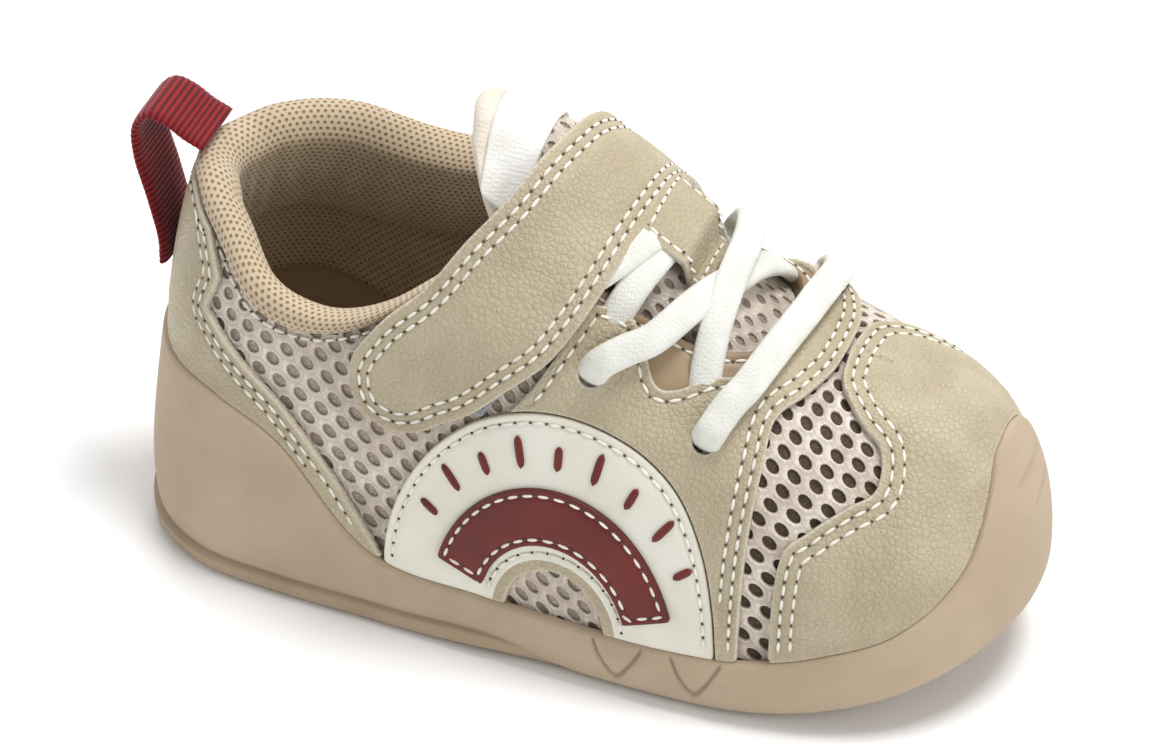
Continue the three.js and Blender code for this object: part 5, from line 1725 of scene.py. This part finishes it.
def tread():
    around = np.linspace(0, 1, 400, endpoint=False)
    outline = sole_ring(around, tread_inset(section(around, "out_x")), 0)[:, :2]
    columns, rows = 370, 150
    x, y = np.meshgrid(np.linspace(-1, SOLE_LENGTH - 2, columns), np.linspace(-33, 35, rows))
    patch = Patch(grid_faces(rows, columns), x=x.ravel(), y=y.ravel())
    patch["edge"] = inside(np.stack([patch["x"], patch["y"]], -1), outline)
    patch.keep("edge")
    for level in (0.15, 0.45, 0.9, TREAD_ROUND):
        patch.cut("edge", level)
    found = tread_pattern(patch["x"], patch["y"], patch["edge"])
    patch["gap"] = np.clip(np.min([field for field, _ in found], axis=0), -3, 3)
    for level in (0.0, -GROOVE_SLOPE):
        patch.cut("gap", level)
    found = tread_pattern(patch["x"], patch["y"], patch["edge"])
    sunk = np.max([np.clip(-field / GROOVE_SLOPE, 0, 1) * depth for field, depth in found], axis=0)
    sunk = np.where(patch["gap"] >= -1e-6, 0, sunk)
    x, y = patch["x"], patch["y"]
    short = 1 - np.clip(patch["edge"] / TREAD_ROUND, 0, 1)
    bevel = TREAD_ROUND * (1 - np.sqrt(np.maximum(1 - short**2, 0)))
    worn = np.maximum(underside(x) - TREAD_WEAR, 0)
    z = np.minimum(worn + np.maximum(sunk, bevel), underside(x) + TREAD_DEPTH)
    points, faces = lid(np.stack([x, y, z], -1), patch.faces, lambda x: underside(x) + TREAD_THICKNESS)
    # Painted shade in the grooves, darker where they are sunk further
    shade = np.zeros(len(points))
    shade[:len(x)] = np.clip(sunk / 0.9, 0, 1)
    piece = make_piece(
        "tread_plate", points, faces, [TREAD_RUBBER], {"depth": shade}, weld=0.004, outward=True,
    )
    piece.data.set_sharp_from_angle(angle=SHARP_EDGE)
    return keep_piece(piece, "sole_rubber", "outsole")


def insole():
    turn = np.linspace(0, 1, 240, endpoint=False)
    base = section(turn, "base")

    def ring(rise, inset):
        points = skin(turn, lift_at(turn, base + rise), -(UPPER_WALL + GAP) - inset)
        points[:, 2] = base + rise
        return points

    rings = [ring(0, 0.3), ring(0.3, 0), ring(2.5, 0), ring(2.95, 0.4)]
    centre = spine_line(turn, 14, 120)
    edge = rings[3]
    surface = FOOTBED + GAP + INSOLE_THICKNESS
    for share in np.linspace(0.08, 1, 14):
        dish = 0.4 * math.sin(math.pi * min(share, 0.5))
        rings.append(drawn_in(edge, centre, share, lambda x: surface + spring(x) - dish))
    rings += [drawn_in(rings[0], centre, share, lambda x: FOOTBED + GAP + spring(x)) for share in (1.0, 0.5)]
    faces = round_faces(len(rings), len(turn), len(rings) - 3)
    piece = make_piece("insole_sheet", np.vstack(rings), faces, [INSOLE_CLOTH], weld=0.01, outward=True)
    return keep_piece(piece, "lining_fabric", "insole")


# Collar, tongue and what sits on it

def tube(rings):
    """Faces round rings of points, one after another, and a cap at each end."""
    count = len(rings[0])
    faces = []
    for j in range(len(rings) - 1):
        a = np.arange(count)
        b = (a + 1) % count
        faces.append(np.stack([j * count + a, j * count + b, (j + 1) * count + b, (j + 1) * count + a], 1))
    faces = [tuple(f) for f in np.vstack(faces).tolist()]
    faces.append(tuple(range(count))[::-1])
    faces.append(tuple((len(rings) - 1) * count + i for i in range(count)))
    return faces


COLLAR_STEPS = 260
COLLAR_ROUND = 54
COLLAR_CREASES = 260  # radians of the creases' wave for a whole turn


def collar():
    inner = -(UPPER_WALL + GAP + 0.15)
    pad = inner - COLLAR_PAD
    end = COLLAR["along"][-1]
    rings = []
    for signed in np.linspace(-end, end, COLLAR_STEPS):
        turn = abs(signed)
        side = "lateral" if signed >= 0 else "medial"
        around = turn if signed >= 0 else 1 - turn
        z = read(COLLAR, side, np.array(turn)) * INSTEP_HEIGHT
        roll = read(COLLAR, "roll", np.array(turn)) * COLLAR_ROLL
        # Creases of the padded lining, soft and fanning out from the heel
        crease = 0.35 * math.sin(turn * COLLAR_CREASES)
        crease = crease * smoothstep(turn, 0.0, 0.05) * smoothstep(-turn, -0.19, -0.13)
        profile = np.array([
            (0.35, 0.1), (1.15, roll * 0.32), (1.1, roll * 0.66), (0.1, roll * 0.93), (-1.8, roll * 1.02),
            (-3.9, roll * 0.84), (pad - 0.05, roll * 0.3), (pad - 0.25 + crease * 0.4, -COLLAR_DEPTH * 0.2),
            (pad - 0.2 + crease, -COLLAR_DEPTH * 0.45), (pad + 0.4 + crease, -COLLAR_DEPTH * 0.75),
            (pad + 1.6, -COLLAR_DEPTH), (inner, -COLLAR_DEPTH), (inner, 0.1),
        ])
        edge = smoothstep(abs(signed), end, end - 0.004)
        profile[:, 0] = inner + (profile[:, 0] - inner) * (0.35 + 0.65 * edge)
        points = spline(profile, np.linspace(0, 1, COLLAR_ROUND, endpoint=False), True)
        around = np.full(COLLAR_ROUND, around)
        rings.append(skin(around, lift_at(around, z + points[:, 1]), points[:, 0]))
    rings = np.array(rings)
    run, down = [
        np.concatenate([[0], np.cumsum(np.linalg.norm(np.diff(line, axis=0), axis=1))])
        for line in (rings[:, 20], rings[COLLAR_STEPS // 2])
    ]
    layers = {"weave_along": np.repeat(run, COLLAR_ROUND) * MM, "weave_down": np.tile(down, len(rings)) * MM}
    piece = make_piece(
        "collar_padding", rings.reshape(-1, 3), tube(rings), [LINING], layers, weld=0, outward=True,
    )
    keep_piece(piece, "lining_fabric", "collar")
    # The seam where the roll meets the cloth
    turn = np.linspace(0.06, end - 0.012, 160)
    for side, around in (("lateral", turn), ("medial", 1 - turn)):
        lift = lift_at(around, read(COLLAR, side, turn) * INSTEP_HEIGHT - 1.2)
        stitch_along(skin(around, lift, 0.12), last_normal(around, lift), SMALL_PITCH)


TONGUE_GIRTH = 62  # millimetres over the tongue that a girth of 1 takes up
TONGUE_RIM = 75  # the same where its rim is rounded


def tongue_offset(along, share):
    lies = -(UPPER_WALL + GAP + 0.4)
    rise = smoothstep(share, 0.18, 0.42) * (1 - smoothstep(share, 0.58, 0.82))
    return lies + TONGUE_CROWN * read(TONGUE, "crown", along) * rise


def tongue():
    columns, rows = 120, 110
    back, front = TONGUE["along"][[0, -1]]
    share, along = np.meshgrid(np.linspace(0, 1, columns), np.linspace(back, front, rows))
    share, along = share.ravel(), along.ravel()
    half = read(TONGUE, "reach", along)
    girth = (2 * share - 1) * half
    turn = turn_at(along * SOLE_LENGTH, girth)
    lift = 1 - np.abs(girth)
    patch = Patch(grid_faces(rows, columns), turn=turn, lift=lift)
    rim = np.minimum(np.minimum(share, 1 - share) * half * TONGUE_RIM, (along - back) * SOLE_LENGTH)
    round_off = 1 - np.sqrt(np.clip(1 - (1 - np.clip(rim / 1.7, 0, 1)) ** 2, 0, 1))
    base = tongue_offset(along, share) + 0.35 * wrinkle(place(patch), 15, 11) * (1 - round_off)
    flat_at = np.stack([along * SOLE_LENGTH - CLOTH_SHIFT, girth * TONGUE_GIRTH], -1)
    opened = smoothstep(rim, 1.2, 1.8)
    open_mesh("tongue_mesh", patch, flat_at, base, opened, rim - 2.1, "air_mesh", "tongue", 3.0, 0.8)
    top = skin(turn, lift, base - 1.5 * round_off - 0.45 * smoothstep(rim, 2.4, 3.4))
    bottom = skin(turn, lift, base - TONGUE_THICKNESS + 1.5 * round_off)
    points, faces = shell(top, bottom, patch.faces)
    layers = {
        "dark": np.full(2 * len(turn), 0.35),
        "weave_along": np.tile(flat_at[:, 0], 2) * MM,
        "weave_down": np.tile(flat_at[:, 1], 2) * MM,
    }
    face_material = np.ones(len(faces), int)
    deep = (rim > 2.6)[patch.faces].all(1)
    face_material[:len(patch.faces)] = np.where(deep, 0, 2)
    piece = make_piece("tongue_padding", points, faces, [BACKING, LINING, BINDING_CLOTH], layers, face_material)
    keep_piece(piece, "air_mesh", "tongue")


KEEPER_RISE = 3.1  # underside of the keeper where the laces pass


def on_tongue(name, span, girths, material, slot, node, thickness, corner, stitches=(), arch_at=None):
    """A flat piece sewn on the tongue, with round corners; arch_at lifts it over the laces there."""
    columns, rows = 80, 60
    girth, along = np.meshgrid(np.linspace(*girths, columns), np.linspace(*span, rows))
    girth, along = girth.ravel(), along.ravel()
    half = read(TONGUE, "reach", along)
    share = (girth / half + 1) / 2
    turn = turn_at(along * SOLE_LENGTH, girth)
    patch = Patch(
        grid_faces(rows, columns), turn=turn, lift=1 - np.abs(girth), share=share, along=along,
        girth=girth, x=along * SOLE_LENGTH,
    )
    width = (girths[1] - girths[0]) * TONGUE_GIRTH / 2
    height = (span[1] - span[0]) * SOLE_LENGTH / 2
    u = np.abs(girth - sum(girths) / 2) * TONGUE_GIRTH - width + corner
    v = np.abs(along - sum(span) / 2) * SOLE_LENGTH - height + corner
    edge = corner - np.hypot(np.maximum(u, 0), np.maximum(v, 0)) - np.minimum(np.maximum(u, v), 0)
    patch["inset"] = edge
    patch["edge"] = edge
    patch.keep("inset", 0.02)

    def lies(p):
        low = tongue_offset(p["along"], p["share"])
        if arch_at is None:
            return low
        over = smoothstep(-p["along"], -arch_at - 0.036, -arch_at - 0.012)
        return low + (KEEPER_RISE - low) * over

    for level in stitches:
        probe = patch.copy()
        for chain in chains(probe.cut("edge", level)):
            t, l = probe["turn"][chain], probe["lift"][chain]
            stitch_along(skin(t, l, lies(probe)[chain] + thickness - 0.08), last_normal(t, l), SMALL_PITCH)
    for level in (0.1, 0.3, 0.8):
        patch.cut("inset", level)
    inset = patch["inset"]
    base = lies(patch)
    fall = 1 - np.clip(inset / 0.3, 0, 1)
    top = skin(patch["turn"], patch["lift"], base + thickness - 0.25 * fall)
    bottom = skin(patch["turn"], patch["lift"], base - 0.3)
    points, faces = shell(top, bottom, patch.faces)
    layer = np.concatenate([1 - smoothstep(inset, 0, 0.4), np.ones(len(inset))]) * 0.7
    piece = make_piece(name, points, faces, [material], {"cut_edge": layer})
    keep_piece(piece, slot, node)


# Laces

LACE_LIES = UNDER_LEATHER + LACE_THICKNESS / 2 + 0.25
LACE_STEPS = 90
LACE_ROUND = 28


def lace(name, routes, node):
    """Flat cord over spots given as share of the length, girth and distance from the last."""
    points = []
    faces = []
    for route in routes:
        route = np.array(route, float)
        path = smooth_line(route * [SOLE_LENGTH, GIRTH_SCALE, 1], LACE_STEPS)
        x, girth, offset = path[:, 0], path[:, 1] / GIRTH_SCALE, path[:, 2]
        turn = turn_at(x, girth)
        lift = 1 - np.abs(girth)
        centre = skin(turn, lift, offset)
        normal = last_normal(turn, lift)
        ahead = np.gradient(centre, axis=0)
        ahead /= np.linalg.norm(ahead, axis=1, keepdims=True)
        across = np.cross(ahead, normal)
        across /= np.linalg.norm(across, axis=1, keepdims=True)
        out = np.cross(across, ahead)
        angle = np.linspace(0, 2 * np.pi, LACE_ROUND, endpoint=False)
        squash = np.sign(np.cos(angle)) * np.abs(np.cos(angle)) ** 0.8
        rings = [
            c + np.outer(squash * LACE_WIDTH / 2, a) + np.outer(np.sin(angle) * LACE_THICKNESS / 2, o)
            for c, a, o in zip(centre, across, out)
        ]
        base = sum(len(p) for p in points)
        faces += [tuple(i + base for i in face) for face in tube(rings)]
        points.append(np.vstack(rings))
    piece = make_piece(name, np.vstack(points), faces, [LACE], weld=0, outward=True)
    return keep_piece(piece, "lace_cord", node)


def laces():
    high = LACE_LIES
    tucked = -1.7
    lace("lace_front_cord", [[
        (0.670, -0.515, -2.6), (0.672, -0.5, 0.4), (0.677, -0.465, high - 0.3), (0.688, -0.38, high + 0.2),
        (0.7, -0.3, high + 0.3), (0.721, 0, high + 0.7), (0.725, 0.2, high + 0.4), (0.718, 0.33, high + 0.1),
        (0.708, 0.4, high - 0.5), (0.702, 0.425, 0.4), (0.7, 0.44, -2.4),
    ]], "lace_front")
    lace("lace_cross_cords", [
        [
            (0.545, -0.515, -2.6), (0.547, -0.5, 0.4), (0.556, -0.455, high - 0.3), (0.575, -0.4, high + 0.1),
            (0.6, -0.33, high), (0.63, -0.16, high - 0.4), (0.655, 0, high - 1.2), (0.672, 0.14, 0.6),
            (0.683, 0.24, -0.9), (0.69, 0.31, tucked), (0.694, 0.36, tucked - 0.2),
        ],
        [
            (0.66, -0.42, -0.9), (0.66, -0.37, 0.0), (0.657, -0.31, 0.9), (0.653, -0.23, 2.0),
            (0.647, -0.12, high + 0.5), (0.64, 0.04, high + 1.3), (0.632, 0.18, high + 0.8),
            (0.622, 0.32, high + 0.2), (0.609, 0.43, high - 0.4), (0.602, 0.465, 0.4), (0.6, 0.48, -2.4),
        ],
    ], "lace_cross")
    lace("lace_top_cord", [
        [
            (0.553, -0.43, -1.3), (0.557, -0.38, -0.4), (0.563, -0.31, 0.8), (0.571, -0.22, 1.8),
            (0.58, -0.12, 2.1), (0.586, 0, 1.8), (0.593, 0.12, 1.5), (0.599, 0.22, 0.2),
            (0.604, 0.3, tucked + 0.2), (0.606, 0.35, tucked),
        ],
        [
            (0.512, -0.36, 0.6), (0.528, -0.3, 1.4), (0.546, -0.22, 2.6), (0.562, -0.13, 3.0),
            (0.575, -0.05, 2.4), (0.583, 0.02, 1.6),
        ],
    ], "lace_top")


# Pull loop

LOOP = np.array([
    (OVERLAY + 2 * GAP + LOOP_THICKNESS / 2, 0.55),
    (OVERLAY + 2 * GAP + LOOP_THICKNESS / 2 + 0.6, 0.6),
    (6.2, 0.7), (10, 0.8), (11.4, 0.865), (10, 0.9), (6.8, 0.893), (3, 0.868), (-0.6, 0.85),
])
RIB_PITCH = 0.95


def pull_loop():
    z = LOOP[:, 1] * INSTEP_HEIGHT
    back_x = last_point(np.zeros(len(z)), lift_at(np.zeros(len(z)), z))[:, 0]
    route = np.stack([back_x - LOOP[:, 0], z], -1)
    path = smooth_line(route, 2000)
    travelled = np.concatenate([[0], np.cumsum(np.linalg.norm(np.diff(path, axis=0), axis=1))])
    count = int(travelled[-1] / RIB_PITCH * 6)
    at = np.linspace(0, travelled[-1], count)
    path = np.stack([np.interp(at, travelled, path[:, k]) for k in range(2)], -1)
    ahead = np.gradient(path, axis=0)
    ahead /= np.linalg.norm(ahead, axis=1, keepdims=True)
    out = np.stack([-ahead[:, 1], ahead[:, 0]], -1)
    rib = 0.5 + 0.5 * np.cos(at * 2 * np.pi / RIB_PITCH)
    across = np.linspace(-1, 1, 19)
    bulge = np.sqrt(1 - np.abs(across) ** 8)
    rings = []
    for i in range(count):
        half = (LOOP_THICKNESS / 2 - 0.14 * (1 - rib[i])) * np.maximum(bulge, 0.25)
        wide = LOOP_WIDTH / 2 * (1 - 0.015 * (1 - rib[i]))
        upper_side, lower_side = [
            np.stack([path[i, 0] + out[i, 0] * k, across * wide, path[i, 1] + out[i, 1] * k], -1)
            for k in (half, -half)
        ]
        rings.append(np.vstack([upper_side, lower_side[::-1]]))
    layers = {"rib": np.repeat(rib, len(rings[0]))}
    piece = make_piece(
        "pull_loop_webbing", np.vstack(rings), tube(rings), [WEBBING], layers, weld=0, outward=True,
    )
    keep_piece(piece, "red_webbing", "pull_loop")
    low = path[:count // 9]
    for y in (-LOOP_WIDTH / 2 + 1.4, LOOP_WIDTH / 2 - 1.4):
        points = np.stack([low[:, 0] - LOOP_THICKNESS / 2, np.full(len(low), y), low[:, 1]], -1)
        stitch_along(points, np.tile([-1.0, 0, 0], (len(low), 1)), 1.9)


# Stitches, and needle holes as beads of painted shade, grown from points with a heading and a facing

def stitch_tree():
    tree, given = new_tree("Stitches", ("Length", "Width"), "Thread")
    bead = add_node(tree, "GeometryNodeMeshUVSphere", {"Segments": 8, "Rings": 6, "Radius": 0.5})
    facing = add_node(
        tree, "FunctionNodeAlignRotationToVector", {"Vector": named(tree, "facing")}, axis="Z",
    ).outputs[0]
    turned = add_node(
        tree, "FunctionNodeAlignRotationToVector", {"Rotation": facing, "Vector": named(tree, "heading")},
        axis="X", pivot_axis="Z",
    ).outputs[0]
    height = math_node(tree, "MULTIPLY", given["Width"], 0.85)
    size = add_node(tree, "ShaderNodeCombineXYZ", {0: given["Length"], 1: given["Width"], 2: height}).outputs[0]
    laid = add_node(
        tree, "GeometryNodeInstanceOnPoints",
        {"Points": given[0], "Instance": bead.outputs[0], "Rotation": turned, "Scale": size},
    )
    return clad(tree, laid.outputs[0], given["Thread"])


def grown_rows(name, points, headings, facings, length, width, material, slot):
    piece = make_piece(name, points, [], layers={"heading": headings, "facing": facings}, weld=0)
    grow(piece, STITCHES, Length=length * MM, Width=width * MM, Thread=material)
    return keep_piece(piece, slot)


STITCHES = stitch_tree()


def stitches():
    points, headings, facings = [np.vstack(part) for part in zip(*STITCH_ROWS)]
    headings = headings / np.linalg.norm(headings, axis=1, keepdims=True)
    grown_rows("stitches", points, headings, facings, STITCH_LENGTH, THREAD_WIDTH, THREAD, "lace_cord")
    holes = points + headings * STITCH_PITCH / 2
    # Dark beads of painted shade where the thread goes into the leather
    grown_rows("needle_holes", holes - facings * 0.05, headings, facings, 0.5, 0.5, HOLE_SHADE, "lining_fabric")


# Making the shoe

upper()
throat_binding()
toe_cap()
eyestay()
side_panel()
saddle()
heel_counter()
strap_pad()
accent_patch()
sun_rays()
strap()
midsole()
tread()
insole()
collar()
tongue()
on_tongue("plain_label", (0.402, 0.452), (-0.31, 0.33), LABEL, "label_weave", "tongue_label", 0.7, 1.0)
on_tongue("keeper_leather", (0.55, 0.634), (-0.12, 0.12), LEATHER, "grained_leather", "lace_keeper",
          1.0, 2.0, (1.2,), 0.586)
laces()
pull_loop()
stitches()


# Floor and light

def floor():
    bpy.ops.mesh.primitive_plane_add(size=6, location=(0, 0, -0.0002))
    sheet = bpy.context.object
    sheet.name = "studio_floor"
    material = bpy.data.materials.new("white floor")
    material.use_nodes = True
    shader = material.node_tree.nodes["Principled BSDF"]
    shader.inputs["Base Color"].default_value = (0.93, 0.93, 0.93, 1)
    shader.inputs["Roughness"].default_value = 0.7
    sheet.data.materials.append(material)


def light(name, place_m, size, power):
    data = bpy.data.lights.new(name, "AREA")
    data.shape = "DISK"
    data.size = size
    data.energy = power
    lamp = bpy.data.objects.new(name, data)
    lamp.location = place_m
    aim = Vector(place_m) - Vector((0.045, 0, 0.03))
    lamp.rotation_euler = aim.to_track_quat("Z", "Y").to_euler()
    bpy.context.scene.collection.objects.link(lamp)


floor()
light("key", (0.35, 0.15, 1.3), 0.5, 13)
light("fill", (1.1, -0.5, 0.7), 0.7, 5)
light("rim", (-0.4, 0.8, 0.8), 0.6, 5)
light("side", (-1.3, -0.4, 0.5), 0.7, 3.2)
bpy.context.scene.view_settings.view_transform = "Standard"
world = bpy.data.worlds.new("studio")
bpy.context.scene.world = world
world.use_nodes = True
world.node_tree.nodes["Background"].inputs["Color"].default_value = (1, 1, 1, 1)
world.node_tree.nodes["Background"].inputs["Strength"].default_value = 0.42

bpy.context.view_layer.update()
